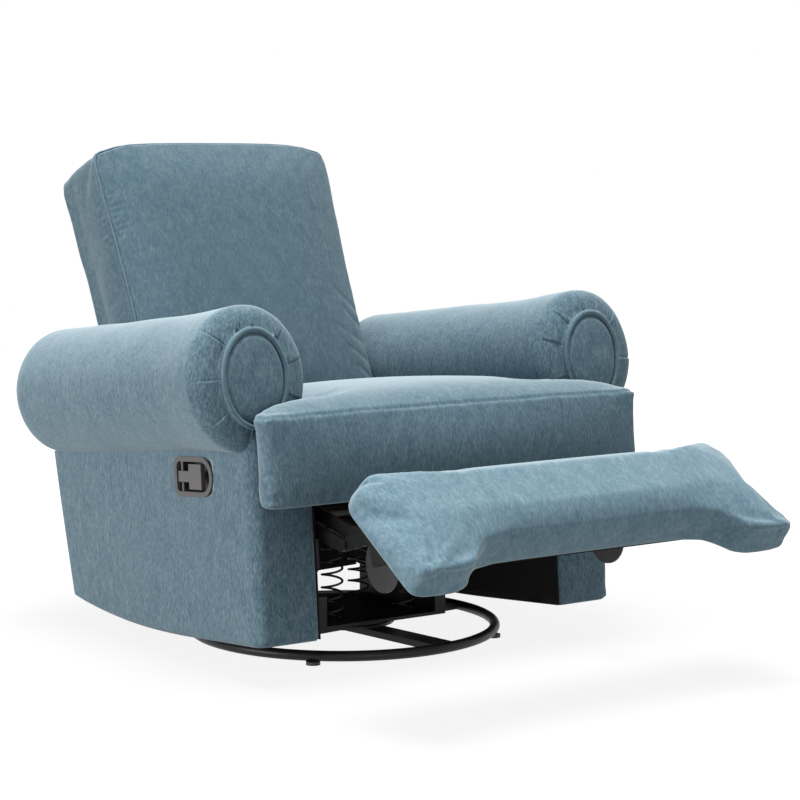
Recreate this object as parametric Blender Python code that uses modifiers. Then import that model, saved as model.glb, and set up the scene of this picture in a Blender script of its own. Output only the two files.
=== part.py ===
"""Swivel rocker recliner: ring base, rocker, chair body, reclining back, folding footrest, release handle.

Metres, +Z up, the chair faces -Y. The chair is modelled upright in its own frame, in which Y is 0 on
the swivel axis and Z is 0 on the floor, and empties on the joint axes then set the pose: rocked back,
footrest out.
"""
import math

import bmesh
import bpy
from mathutils import Matrix, Vector

# Overall pose
SWIVEL_Y = 0.09048
ROCK_BACK_DEG = 5.0
BACK_LEAN_DEG = 19.0
PAD_PITCH_DEG = 52.5
CLEARANCE = 0.0003
SEAM_FULLNESS = 1.9

# Ring base
RING_RADIUS = 0.284
RING_TUBE = 0.0095
RING_SIDES = 48
GLIDE_RADIUS = 0.013
GLIDE_HEIGHT = 0.006
GLIDE_COUNT = 4
CROSS_WIDTH = 0.045
CROSS_TURN_DEG = 7.0
CROSS_HEIGHT = 0.012
BEARING_RADIUS = 0.095
BEARING_THICKNESS = 0.008
BEARING_PLAY = 0.0006
KING_PIN_RADIUS = 0.010
KING_PIN_PLAY = 0.0003

# Rocker
ROCK_Z = 0.240
ROCKER_WIDTH = 0.290
ROCKER_LENGTH = 0.250
ROCKER_FLOOR = 0.006
ROCKER_WALL = 0.024
ROCKER_HEIGHT = 0.062
CAM_THICKNESS = 0.020
CAM_HALF_ANGLE_DEG = 44.0
CROSSBAR_Y = 0.075
CROSSBAR_WIDTH = 0.034
CROSSBAR_HEIGHT = 0.020
CROSSBAR_Z = 0.190
SPRING_X = 0.080
SPRING_RADIUS = 0.019
SPRING_WIRE = 0.0022
SPRING_TURNS = 6
SPRING_POINTS_PER_TURN = 9

# Side boxes and arms
BOX_INNER_X = 0.264
BOX_WIDTH = 0.121
BOX_FRONT_Y = -0.305
BOX_REAR_LOW_Y = 0.374
BOX_REAR_HIGH_Y = 0.430
BOX_HEM_Z = 0.044
BOX_HEM_RISE = 0.045
HEM_FLAT_SHARE = 0.30
HEM_SWEEP_POWER = 2.4
HEM_STEPS = 8
BOX_TOP_FRONT_Z = 0.402
BOX_TOP_REAR_Z = 0.364
LINING_THICKNESS = 0.003
APRON_LOW_Y = 0.354
APRON_HIGH_Y = 0.372
APRON_HEM_Z = 0.078
GUSSET_TOP_Z = 0.340
ARM_X = 0.366
ARM_CENTRE_Z = 0.497
ARM_HALF_WIDTH = 0.105
ARM_HALF_HEIGHT = 0.118
ARM_FRONT_Y = -0.300
ARM_LENGTH = 0.750
ARM_DROP_DEG = 1.6
ARM_FRONT_ROUND = 0.022
ARM_REAR_ROUND = 0.075
FACING_HALF_WIDTH = 0.060
FACING_HALF_HEIGHT = 0.081
FACING_THICKNESS = 0.007
WELT_RADIUS = 0.0045

# Seat
RAIL_THICKNESS = 0.006
RAIL_FRONT_Y = -0.275
RAIL_LOW_Z = 0.185
RAIL_HEIGHT = 0.100
RAIL_NOSE_SHARE = 0.45
DECK_FRONT_Y = -0.300
DECK_LENGTH = 0.490
DECK_THICKNESS = 0.012
CUSHION_FRONT_Y = -0.394
CUSHION_REAR_Y = 0.198
CUSHION_EAR_DEPTH = 0.073
CUSHION_HALF_WIDTH = 0.409
CUSHION_SEAT_HALF_WIDTH = 0.256
CUSHION_LIP_Z = 0.279
CUSHION_SEAM_Z = 0.436
CUSHION_CROWN = 0.040
CUSHION_DRAW_IN = 0.006
CUSHION_NOTCH_PULL = 0.024

# Back
BACK_HINGE_Y = 0.285
BACK_HINGE_Z = 0.262
BACK_HALF_WIDTH = 0.2585
BACK_FLARE = 0.016
BACK_FLARE_LOW = 0.400
BACK_LOW = 0.110
BACK_HEIGHT = 0.560
BACK_FRONT_OFFSET = 0.106
BACK_CUSHION_DEPTH = 0.126
BACK_CROWN = 0.032
BACK_TOP_CROWN = 0.036
BACK_DRAW_IN = 0.005
BACK_PANEL_DEPTH = 0.030
BACK_PANEL_MARGIN = 0.004
PANEL_CROWN_SHARE = 0.45
PANEL_CORNER = 0.045
PANEL_TOP_STEPS = 24
BACK_BRACKET_THICKNESS = 0.006
BACK_BRACKET_WIDTH = 0.040
BACK_PIN_RADIUS = 0.006

# Footrest linkage
FOLD_PIVOT_Y = -0.170
FOLD_PIVOT_Z = 0.262
FRONT_LINK_LENGTH = 0.2035
FOOT_LINK_LENGTH = 0.2240
CROSS_LINK_PIVOT_Z = 0.272
CROSS_LINK_SHARE = 0.20
LINK_WIDTH = 0.024
LINK_THICKNESS = 0.005
PIN_RADIUS = 0.005
PIN_PLAY = 0.0003
TORQUE_TUBE_RADIUS = 0.009
TORQUE_TUBE_SHARE = 0.20
GUARD_RADIUS = 0.046
GUARD_THICKNESS = 0.004
GUARD_ALONG = 0.095
GUARD_BELOW = 0.050
GUARD_EAR_SHARE = 0.4

# Footrest
FOOT_OPEN_REACH_SHARE = 0.97322
FOOT_OPEN_DROP_DEG = 0.895
FOOT_CLOSED_REACH_SHARE = 0.31682
FOOT_CLOSED_DROP_DEG = 16.294
PAD_HALF_WIDTH = 0.390
PAD_FACE = 0.093
PAD_TOP = 0.048
PAD_LENGTH = 0.2497
PAD_THICKNESS = 0.067
PAD_CROWN = 0.010
PAD_NOTCH_HALF_WIDTH = 0.262
PAD_NOTCH_DEPTH = 0.055
BOARD_THICKNESS = 0.012
BOARD_MARGIN = 0.030
BOARD_NOTCH_MARGIN = 0.020
FOOT_BRACKET_HEIGHT = 0.110

# Release handle
CUP_CENTRE_Y = -0.1205
CUP_CENTRE_Z = 0.329
CUP_LENGTH = 0.129
CUP_HEIGHT = 0.070
CUP_FLANGE = 0.006
CUP_CORNER = 0.018
CUP_LEAST_CORNER = 0.002
CUP_FLANGE_THICKNESS = 0.005
CUP_DEPTH = 0.034
CUP_WALL = 0.0025
PADDLE_THICKNESS = 0.008
PADDLE_SETBACK = 0.001
PADDLE_STEM_LENGTH = 0.036
PADDLE_STEM_HEIGHT = 0.019
PADDLE_HEAD_LENGTH = 0.042
PADDLE_HEAD_HEIGHT = 0.044
PADDLE_END_GAP = 0.004
HANDLE_PIN_RADIUS = 0.0025

# Colours from the photo, as linear values
FABRIC_BLUE = (0.105, 0.205, 0.265)
PIPING_BLUE = (0.085, 0.170, 0.225)
LINING_BLACK = (0.012, 0.012, 0.013)
STEEL_BLACK = (0.016, 0.016, 0.017)
STEEL_GREY = (0.110, 0.110, 0.115)
SPRING_STEEL = (0.230, 0.230, 0.240)
PLASTIC_BLACK = (0.022, 0.021, 0.020)
PLASTIC_GREY = (0.045, 0.043, 0.041)
BOARD_WOOD = (0.480, 0.330, 0.190)

for old_object in list(bpy.data.objects):
    bpy.data.objects.remove(old_object, do_unlink=True)

parts = bpy.data.collections.new("swivel_rocker_recliner")
cutters = bpy.data.collections.new("cutters")
bpy.context.scene.collection.children.link(parts)
bpy.context.scene.collection.children.link(cutters)


def finish_material(target, name, colour, roughness, metallic):
    """Give one object its own Principled material."""
    material = bpy.data.materials.new(name)
    material.use_nodes = True
    shader = material.node_tree.nodes["Principled BSDF"]
    shader.inputs["Base Color"].default_value = (*colour, 1.0)
    shader.inputs["Roughness"].default_value = roughness
    shader.inputs["Metallic"].default_value = metallic
    target.data.materials.clear()
    target.data.materials.append(material)


FINISHES = {
    "fabric": (FABRIC_BLUE, 0.95, 0.0),
    "piping": (PIPING_BLUE, 0.90, 0.0),
    "lining": (LINING_BLACK, 0.95, 0.0),
    "black_steel": (STEEL_BLACK, 0.38, 0.3),
    "grey_steel": (STEEL_GREY, 0.45, 0.6),
    "spring": (SPRING_STEEL, 0.35, 0.9),
    "black_plastic": (PLASTIC_BLACK, 0.50, 0.0),
    "grey_plastic": (PLASTIC_GREY, 0.45, 0.0),
    "board": (BOARD_WOOD, 0.80, 0.0),
}


def empty_on_axis(name, parent, location, pitch_deg=0.0):
    """An empty on a joint axis, turned about X."""
    empty = bpy.data.objects.new(name, None)
    parts.objects.link(empty)
    empty.parent = parent
    empty.location = location
    empty.rotation_euler.x = math.radians(pitch_deg)
    return empty


def add_part(name, mesh, parent, location, finish, pitch_deg=0.0, smooth=True):
    """One sub-part: a named object with its material, placed under the empty that carries it."""
    new_part = bpy.data.objects.new(name, mesh)
    mesh.name = name
    parts.objects.link(new_part)
    new_part.parent = parent
    new_part.location = location
    new_part.rotation_euler.x = math.radians(pitch_deg)
    if smooth:
        mesh.shade_smooth()
        mesh.set_sharp_from_angle(angle=math.radians(35.0))
    finish_material(new_part, name, *FINISHES[finish])
    return new_part


def box_mesh(low, high):
    """A box between two corners."""
    low = Vector(low)
    high = Vector(high)
    form = bmesh.new()
    bmesh.ops.create_cube(form, size=1.0)
    size = high - low
    bmesh.ops.scale(form, vec=size, verts=form.verts)
    bmesh.ops.translate(form, vec=(low + high) / 2.0, verts=form.verts)
    mesh = bpy.data.meshes.new("box")
    form.to_mesh(mesh)
    form.free()
    return mesh


def rod_mesh(start, end, radius, sides=16):
    """A round bar between two points."""
    start = Vector(start)
    end = Vector(end)
    form = bmesh.new()
    bmesh.ops.create_cone(
        form, cap_ends=True, segments=sides, radius1=radius, radius2=radius, depth=(end - start).length)
    turn = (end - start).to_track_quat("Z", "Y").to_matrix().to_4x4()
    bmesh.ops.transform(form, matrix=Matrix.Translation((start + end) / 2.0) @ turn, verts=form.verts)
    mesh = bpy.data.meshes.new("rod")
    form.to_mesh(mesh)
    form.free()
    return mesh


def evaluated_mesh(source):
    """The mesh that an object's modifiers or its curve make, with welded caps; the object is removed."""
    graph = bpy.context.evaluated_depsgraph_get()
    mesh = bpy.data.meshes.new_from_object(source.evaluated_get(graph))
    form = bmesh.new()
    form.from_mesh(mesh)
    bmesh.ops.transform(form, matrix=source.matrix_world, verts=form.verts)
    bmesh.ops.remove_doubles(form, verts=form.verts, dist=0.00001)
    form.to_mesh(mesh)
    form.free()
    bpy.data.objects.remove(source, do_unlink=True)
    return mesh


def plate_mesh(outlines, low, high, along="X"):
    """A flat plate from closed outlines, the later ones being holes.

    Outlines along X are (y, z) points and along Y are (x, z) points. The plate fills low to high.
    """
    curve = bpy.data.curves.new("plate", "CURVE")
    curve.dimensions = "2D"
    curve.fill_mode = "BOTH"
    curve.extrude = (high - low) / 2.0
    for outline in outlines:
        spline = curve.splines.new("POLY")
        spline.points.add(len(outline) - 1)
        for point, place in zip(spline.points, outline):
            point.co = (place[0], place[1], 0.0, 1.0)
        spline.use_cyclic_u = True
    holder = bpy.data.objects.new("plate", curve)
    parts.objects.link(holder)
    bpy.context.view_layer.update()
    mesh = evaluated_mesh(holder)
    if along == "X":
        axes = Matrix(((0, 0, 1, 0), (1, 0, 0, 0), (0, 1, 0, 0), (0, 0, 0, 1)))
        middle = Vector(((low + high) / 2.0, 0.0, 0.0))
    else:
        axes = Matrix(((1, 0, 0, 0), (0, 0, -1, 0), (0, 1, 0, 0), (0, 0, 0, 1)))
        middle = Vector((0.0, (low + high) / 2.0, 0.0))
    mesh.transform(Matrix.Translation(middle) @ axes)
    return mesh


def tube_mesh(points, radius, resolution=2, cyclic=False):
    """A round tube along points."""
    curve = bpy.data.curves.new("tube", "CURVE")
    curve.dimensions = "3D"
    curve.bevel_depth = radius
    curve.bevel_resolution = resolution
    curve.use_fill_caps = True
    spline = curve.splines.new("POLY")
    spline.points.add(len(points) - 1)
    for point, place in zip(spline.points, points):
        point.co = (*place, 1.0)
    spline.use_cyclic_u = cyclic
    holder = bpy.data.objects.new("tube", curve)
    parts.objects.link(holder)
    bpy.context.view_layer.update()
    return evaluated_mesh(holder)


def turned_mesh(profile, steps=32):
    """A turned piece from (radius, z) points that run down its outer side, closed on itself."""
    mesh = bpy.data.meshes.new("turned")
    form = bmesh.new()
    corners = [form.verts.new((radius, 0.0, z)) for radius, z in profile]
    for corner, following in zip(corners, corners[1:] + corners[:1]):
        form.edges.new((corner, following))
    form.to_mesh(mesh)
    form.free()
    holder = bpy.data.objects.new("turned", mesh)
    parts.objects.link(holder)
    screw = holder.modifiers.new("turn", "SCREW")
    screw.steps = steps
    screw.render_steps = steps
    screw.use_merge_vertices = True
    screw.merge_threshold = 0.0001
    bpy.context.view_layer.update()
    return evaluated_mesh(holder)


def combine(base, others, operation):
    """A mesh joined with, or cut by, other meshes."""
    holder = bpy.data.objects.new("combined", base)
    cutters.objects.link(holder)
    tools = []
    for other in others:
        tool = bpy.data.objects.new("cutter", other)
        tool.hide_render = True
        tool.display_type = "WIRE"
        cutters.objects.link(tool)
        change = holder.modifiers.new("combine", "BOOLEAN")
        change.operation = operation
        change.object = tool
        tools.append(tool)
    bpy.context.view_layer.update()
    mesh = evaluated_mesh(holder)
    for tool in tools:
        bpy.data.objects.remove(tool, do_unlink=True)
    return mesh


def circle_points(centre, radius, count=16):
    """Points round a circle."""
    angles = [2.0 * math.pi * step / count for step in range(count)]
    return [(centre[0] + radius * math.cos(a), centre[1] + radius * math.sin(a)) for a in angles]


def arc_points(centre, radius, start_deg, end_deg, count):
    """Points along an arc."""
    points = []
    for step in range(count + 1):
        angle = math.radians(start_deg + (end_deg - start_deg) * step / count)
        points.append((centre[0] + radius * math.cos(angle), centre[1] + radius * math.sin(angle)))
    return points


def slot_outline(length, half_width, count=8):
    """A bar with round ends, from the pivot at 0 to the pivot at its length."""
    return arc_points((0.0, 0.0), half_width, 90.0, 270.0, count) + arc_points(
        (length, 0.0), half_width, -90.0, 90.0, count)


def sided(side, low, high):
    """The X span of a piece on the left (-1) or right (1) side."""
    return (low, high) if side > 0 else (-high, -low)


SIDES = {"left": -1.0, "right": 1.0}

# Joint axes
swivel = empty_on_axis("swivel_axis", None, (0.0, SWIVEL_Y, 0.0))
rock = empty_on_axis("rock_axis", swivel, (0.0, 0.0, ROCK_Z), -ROCK_BACK_DEG)
IN_ROCK = Vector((0.0, 0.0, -ROCK_Z))

# Ring base: a tube ring on plastic glides, with crossed bars that carry the lower bearing plate
ring_z = GLIDE_HEIGHT + CLEARANCE + RING_TUBE
ring_points = [(x, y, ring_z) for x, y in circle_points((0.0, 0.0), RING_RADIUS, RING_SIDES)]
add_part("base_ring", tube_mesh(ring_points, RING_TUBE, 2, True), swivel, (0, 0, 0), "black_steel")
for number in range(GLIDE_COUNT):
    angle = math.radians(45.0 + 360.0 * number / GLIDE_COUNT)
    foot = (RING_RADIUS * math.cos(angle), RING_RADIUS * math.sin(angle), 0.0)
    glide = rod_mesh((0, 0, 0), (0, 0, GLIDE_HEIGHT), GLIDE_RADIUS)
    add_part(f"glide_{number + 1}", glide, swivel, foot, "black_plastic")
ring_inner = RING_RADIUS * math.cos(math.pi / RING_SIDES) - RING_TUBE - CLEARANCE
bar_reach = math.sqrt(ring_inner ** 2 - (CROSS_WIDTH / 2.0) ** 2)
cross_low = ring_z - CROSS_HEIGHT / 2.0
cross_top = ring_z + CROSS_HEIGHT / 2.0
bar_x = box_mesh((-bar_reach, -CROSS_WIDTH / 2, cross_low), (bar_reach, CROSS_WIDTH / 2, cross_top))
bar_y = box_mesh((-CROSS_WIDTH / 2, -bar_reach, cross_low), (CROSS_WIDTH / 2, bar_reach, cross_top))
cross_bars = combine(bar_x, [bar_y], "UNION")
cross_bars.transform(Matrix.Rotation(math.radians(CROSS_TURN_DEG), 4, "Z"))
add_part("base_cross", cross_bars, swivel, (0, 0, 0), "black_steel", smooth=False)

# Swivel: lower plate and king pin stay with the ring, the upper plate turns with the rocker
lower_low = cross_top + CLEARANCE
lower_top = lower_low + BEARING_THICKNESS
upper_low = lower_top + BEARING_PLAY
upper_top = upper_low + BEARING_THICKNESS
pin_hole = KING_PIN_RADIUS + KING_PIN_PLAY


def bearing_plate(low, top):
    """A round plate with a bevelled rim and a centre hole."""
    rim = BEARING_THICKNESS / 3.0
    return turned_mesh([(pin_hole, top), (BEARING_RADIUS - rim, top), (BEARING_RADIUS, top - rim),
                        (BEARING_RADIUS, low), (pin_hole, low)])


add_part("lower_bearing", bearing_plate(lower_low, lower_top), swivel, (0, 0, 0), "black_steel")
add_part("upper_bearing", bearing_plate(upper_low, upper_top), swivel, (0, 0, 0), "grey_steel")
king_pin = rod_mesh((0, 0, cross_top + CLEARANCE), (0, 0, upper_top - CLEARANCE), KING_PIN_RADIUS, 24)
add_part("king_pin", king_pin, swivel, (0, 0, 0), "grey_steel")

# Rocker base: a folded channel, on whose walls the cams roll
base_low = upper_top + CLEARANCE
base_floor = base_low + ROCKER_FLOOR
base_top = base_low + ROCKER_HEIGHT
wall_x = ROCKER_WIDTH / 2.0
channel = [(-wall_x, base_low), (wall_x, base_low), (wall_x, base_top), (wall_x - ROCKER_WALL, base_top),
           (wall_x - ROCKER_WALL, base_floor), (ROCKER_WALL - wall_x, base_floor),
           (ROCKER_WALL - wall_x, base_top), (-wall_x, base_top)]
rocker_base = plate_mesh([channel], -ROCKER_LENGTH / 2.0, ROCKER_LENGTH / 2.0, "Y")
add_part("rocker_base", rocker_base, swivel, (0, 0, 0), "black_steel", smooth=False)

# Rocker cams: plates whose round lower edge is centred on the rock axis
cam_radius = ROCK_Z - base_top - CLEARANCE
cam_arc = arc_points((0.0, ROCK_Z), cam_radius, 270.0 - CAM_HALF_ANGLE_DEG, 270.0 + CAM_HALF_ANGLE_DEG, 12)
cam_top = CROSSBAR_Z - CLEARANCE
cam_outline = cam_arc + [(cam_arc[-1][0], cam_top), (cam_arc[0][0], cam_top)]
for side_name, side in SIDES.items():
    middle = side * (wall_x - ROCKER_WALL / 2.0)
    cam = plate_mesh([cam_outline], middle - CAM_THICKNESS / 2.0, middle + CAM_THICKNESS / 2.0)
    add_part(f"rocker_cam_{side_name}", cam, rock, IN_ROCK, "black_steel", smooth=False)


# Footrest linkage: rail, front link, foot link and cross link make a four-bar on each side
def elbow_angle(pivot, end, first, second):
    """Angle of the first link, in degrees from +Y towards +Z, with the elbow hanging below."""
    span = (end - pivot).length
    lift = math.acos((first ** 2 + span ** 2 - second ** 2) / (2.0 * first * span))
    return math.degrees(math.atan2(end.z - pivot.z, end.y - pivot.y) + lift)


def point_at(pivot, angle_deg, length):
    """The point at a distance from a pivot, at an angle from +Y towards +Z."""
    angle = math.radians(angle_deg)
    return pivot + Vector((0.0, length * math.cos(angle), length * math.sin(angle)))


def angle_to(start, end):
    """Angle of a direction, in degrees from +Y towards +Z, between 0 and 360."""
    return math.degrees(math.atan2(end.z - start.z, end.y - start.y)) % 360.0


fold_pivot = Vector((0.0, FOLD_PIVOT_Y, FOLD_PIVOT_Z))
links_reach = FRONT_LINK_LENGTH + FOOT_LINK_LENGTH
foot_open = point_at(fold_pivot, 180.0 + FOOT_OPEN_DROP_DEG, FOOT_OPEN_REACH_SHARE * links_reach)
foot_closed = point_at(fold_pivot, 180.0 + FOOT_CLOSED_DROP_DEG, FOOT_CLOSED_REACH_SHARE * links_reach)
front_open = elbow_angle(fold_pivot, foot_open, FRONT_LINK_LENGTH, FOOT_LINK_LENGTH) % 360.0
front_closed = elbow_angle(fold_pivot, foot_closed, FRONT_LINK_LENGTH, FOOT_LINK_LENGTH) % 360.0
elbow_open = point_at(fold_pivot, front_open, FRONT_LINK_LENGTH)
elbow_closed = point_at(fold_pivot, front_closed, FRONT_LINK_LENGTH)
cross_open = elbow_open.lerp(foot_open, CROSS_LINK_SHARE)
cross_closed = elbow_closed.lerp(foot_closed, CROSS_LINK_SHARE)
foot_open_angle = angle_to(elbow_open, foot_open)
foot_closed_angle = angle_to(elbow_closed, foot_closed)
cross_middle = cross_open.lerp(cross_closed, 0.5)
cross_chord = cross_closed - cross_open
cross_pivot_y = cross_middle.y - (CROSS_LINK_PIVOT_Z - cross_middle.z) * cross_chord.z / cross_chord.y
cross_pivot = Vector((0.0, cross_pivot_y, CROSS_LINK_PIVOT_Z))
cross_length = (cross_open - cross_pivot).length
fold_turn = front_closed - front_open
foot_turn = foot_closed_angle - foot_open_angle
cross_turn = angle_to(cross_pivot, cross_closed) - angle_to(cross_pivot, cross_open)
print(f"front link turns {fold_turn:.3f} degrees as the footrest closes")
print(f"foot link turns {foot_turn - fold_turn:.3f} on the front link")
print(f"footrest turns {PAD_PITCH_DEG - foot_turn:.3f} on the foot link")
print(f"cross link turns {cross_turn:.3f}")

# Seat rails carry the linkage pivots, and two cross bars tie them together over the cams
lining_inner = BOX_INNER_X - CLEARANCE - LINING_THICKNESS
rail_outer = lining_inner - CLEARANCE
rail_inner = rail_outer - RAIL_THICKNESS
rail_top = RAIL_LOW_Z + RAIL_HEIGHT
back_pivot = Vector((0.0, BACK_HINGE_Y, BACK_HINGE_Z))

# Linkage planes, from the rail inwards
front_link_high = rail_inner - CLEARANCE
front_link_low = front_link_high - LINK_THICKNESS
foot_link_high = front_link_low - CLEARANCE
foot_link_low = foot_link_high - LINK_THICKNESS
guard_high = foot_link_low - CLEARANCE
guard_low = guard_high - GUARD_THICKNESS
cross_link_high = guard_low - CLEARANCE
cross_link_low = cross_link_high - LINK_THICKNESS
rail_nose = RAIL_HEIGHT * RAIL_NOSE_SHARE
rail_outline = [(RAIL_FRONT_Y, rail_top), (RAIL_FRONT_Y, rail_top - rail_nose),
                (RAIL_FRONT_Y + RAIL_HEIGHT - rail_nose, RAIL_LOW_Z), (BACK_HINGE_Y - RAIL_HEIGHT, RAIL_LOW_Z),
                (BACK_HINGE_Y + LINK_WIDTH, rail_top - rail_nose), (BACK_HINGE_Y + LINK_WIDTH, rail_top)]
for side_name, side in SIDES.items():
    low, high = sided(side, rail_inner, rail_outer)
    rail = plate_mesh([rail_outline], low, high)
    pins = []
    pivots = ((fold_pivot, front_link_low, PIN_RADIUS), (cross_pivot, cross_link_low, PIN_RADIUS),
              (back_pivot, rail_inner - BACK_BRACKET_THICKNESS, BACK_PIN_RADIUS))
    for pivot, reach, radius in pivots:
        root = Vector((side * (rail_inner + RAIL_THICKNESS / 2.0), pivot.y, pivot.z))
        tip = Vector((side * reach, pivot.y, pivot.z))
        pins.append(rod_mesh(root, tip, radius))
    rail = combine(rail, pins, "UNION")
    add_part(f"seat_rail_{side_name}", rail, rock, IN_ROCK, "black_steel", smooth=False)
for bar_name, bar_side in (("front", -1.0), ("rear", 1.0)):
    middle = bar_side * CROSSBAR_Y
    half = rail_inner - CLEARANCE
    bar = box_mesh((-half, middle - CROSSBAR_WIDTH / 2.0, CROSSBAR_Z),
                   (half, middle + CROSSBAR_WIDTH / 2.0, CROSSBAR_Z + CROSSBAR_HEIGHT))
    add_part(f"crossbar_{bar_name}", bar, rock, IN_ROCK, "black_steel", smooth=False)

# Rocker springs: coils from the channel floor to the cross bars
tilt = math.radians(ROCK_BACK_DEG)


def spring_points(top):
    """One unbroken wire: a flat turn at each end and a steady climb between."""
    count = SPRING_TURNS * SPRING_POINTS_PER_TURN
    bottom = base_floor + CLEARANCE + SPRING_WIRE
    points = []
    for step in range(count + 1):
        turn = step / SPRING_POINTS_PER_TURN
        share = turn / SPRING_TURNS
        angle = 2.0 * math.pi * turn
        height = bottom + (top - bottom) * share
        points.append(Vector((SPRING_RADIUS * math.cos(angle), SPRING_RADIUS * math.sin(angle), height)))
    return points


for side_name, side in SIDES.items():
    for bar_name, bar_side in (("front", -1.0), ("rear", 1.0)):
        flat_y = bar_side * CROSSBAR_Y
        drop = CROSSBAR_Z - ROCK_Z
        seat_z = ROCK_Z + drop * math.cos(tilt) - flat_y * math.sin(tilt)
        seat_y = flat_y * math.cos(tilt) + drop * math.sin(tilt)
        spring_top = seat_z - CLEARANCE - SPRING_WIRE - SPRING_RADIUS * math.tan(tilt)
        coil = spring_points(spring_top)
        apart = SPRING_POINTS_PER_TURN // 2
        least = min((a - b).length for i, a in enumerate(coil) for b in coil[i + apart:]) - 2.0 * SPRING_WIRE
        print(f"spring {side_name} {bar_name}: least gap to itself {least * 1000.0:.2f} mm")
        spot = (side * SPRING_X, seat_y, 0.0)
        spring = tube_mesh(coil, SPRING_WIRE, 1)
        add_part(f"rocker_spring_{bar_name}_{side_name}", spring, swivel, spot, "spring")

# Side boxes: upholstered arm bases with a swept hem and a raised rear corner
box_outer_x = BOX_INNER_X + BOX_WIDTH
box_top_slope = (BOX_TOP_REAR_Z - BOX_TOP_FRONT_Z) / (BOX_REAR_HIGH_Y - BOX_FRONT_Y)
hem = [(BOX_FRONT_Y, BOX_HEM_Z)]
hem_flat_y = BOX_FRONT_Y + HEM_FLAT_SHARE * (BOX_REAR_LOW_Y - BOX_FRONT_Y)
for step in range(HEM_STEPS + 1):
    share = step / HEM_STEPS
    hem_y = hem_flat_y + share * (BOX_REAR_LOW_Y - hem_flat_y)
    hem.append((hem_y, BOX_HEM_Z + BOX_HEM_RISE * share ** HEM_SWEEP_POWER))
box_outline = hem + [(BOX_REAR_HIGH_Y, BOX_TOP_REAR_Z), (BOX_FRONT_Y, BOX_TOP_FRONT_Z)]
lining_outline = [(y, z) for y, z in box_outline[:-2]] + [
    (BOX_REAR_HIGH_Y, BOX_TOP_REAR_Z), (BOX_FRONT_Y, BOX_TOP_REAR_Z)]

# Release cup: sizes shared by the pocket, the cup and the paddle
flange_front_r = CUP_HEIGHT / 2.0
cup_rear_y = CUP_CENTRE_Y + CUP_LENGTH / 2.0
cup_front_y = CUP_CENTRE_Y - CUP_LENGTH / 2.0


def cup_outline(inset):
    """The cup's D shape, round at the front, drawn in by an inset; (y, z) points."""
    radius = flange_front_r - inset
    corner = max(CUP_CORNER - inset, CUP_LEAST_CORNER)
    middle = (cup_front_y + flange_front_r, CUP_CENTRE_Z)
    rear = cup_rear_y - inset - corner
    high = CUP_CENTRE_Z + radius - corner
    low = CUP_CENTRE_Z - radius + corner
    return (arc_points(middle, radius, 90.0, 270.0, 12) + arc_points((rear, low), corner, 270.0, 360.0, 3)
            + arc_points((rear, high), corner, 0.0, 90.0, 3))


cup_face_x = -box_outer_x
pocket = plate_mesh([cup_outline(CUP_FLANGE)], cup_face_x - CUP_WALL, cup_face_x + CUP_DEPTH)
for side_name, side in SIDES.items():
    low, high = sided(side, BOX_INNER_X, box_outer_x)
    box = plate_mesh([box_outline], low, high)
    if side < 0:
        box = combine(box, [pocket], "DIFFERENCE")
    add_part(f"side_box_{side_name}", box, rock, IN_ROCK, "fabric", smooth=False)
    low, high = sided(side, lining_inner, BOX_INNER_X - CLEARANCE)
    lining = plate_mesh([lining_outline], low, high)
    add_part(f"inner_lining_{side_name}", lining, rock, IN_ROCK, "lining", smooth=False)

# Rear apron of lining cloth between the arm bases, and the gusset above it that folds as the back reclines
apron_half = lining_inner - CLEARANCE
apron_top = BACK_HINGE_Z
apron_outline = [(APRON_LOW_Y, APRON_HEM_Z), (APRON_LOW_Y + LINING_THICKNESS, APRON_HEM_Z),
                 (APRON_HIGH_Y + LINING_THICKNESS, apron_top), (APRON_HIGH_Y, apron_top)]
apron = plate_mesh([apron_outline], -apron_half, apron_half)
add_part("rear_apron", apron, rock, IN_ROCK, "lining", smooth=False)
gusset = box_mesh((-apron_half, APRON_HIGH_Y, apron_top + CLEARANCE),
                  (apron_half, APRON_HIGH_Y + LINING_THICKNESS, GUSSET_TOP_Z))
add_part("rear_gusset", gusset, rock, IN_ROCK, "lining", smooth=False)


# Arm rolls: oval rolls with a gathered front edge and a full round rear end, flat where they sit on the boxes
def roll_mesh():
    """An oval roll along Y from its front face at 0, rounded at both ends."""
    form = bmesh.new()
    bmesh.ops.create_cone(form, cap_ends=True, segments=28, radius1=1.0, radius2=1.0, depth=1.0)
    turn = Matrix.Rotation(math.radians(90.0), 4, "X")
    bmesh.ops.transform(form, matrix=turn, verts=form.verts)
    bmesh.ops.scale(form, vec=(ARM_HALF_WIDTH, ARM_LENGTH, ARM_HALF_HEIGHT), verts=form.verts)
    bmesh.ops.translate(form, vec=(0.0, ARM_LENGTH / 2.0, 0.0), verts=form.verts)
    for end_y, radius, segments in ((0.0, ARM_FRONT_ROUND, 3), (ARM_LENGTH, ARM_REAR_ROUND, 6)):
        rim = [e for e in form.edges if all(abs(v.co.y - end_y) < 0.00001 for v in e.verts)]
        bmesh.ops.bevel(form, geom=rim, offset=radius, segments=segments, profile=0.5, affect="EDGES")
    mesh = bpy.data.meshes.new("roll")
    form.to_mesh(mesh)
    form.free()
    return mesh


def oval_points(half_width, half_height, count=32):
    """Points (x, z) round an oval."""
    return [(half_width * x, half_height * z) for x, z in circle_points((0.0, 0.0), 1.0, count)]


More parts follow.
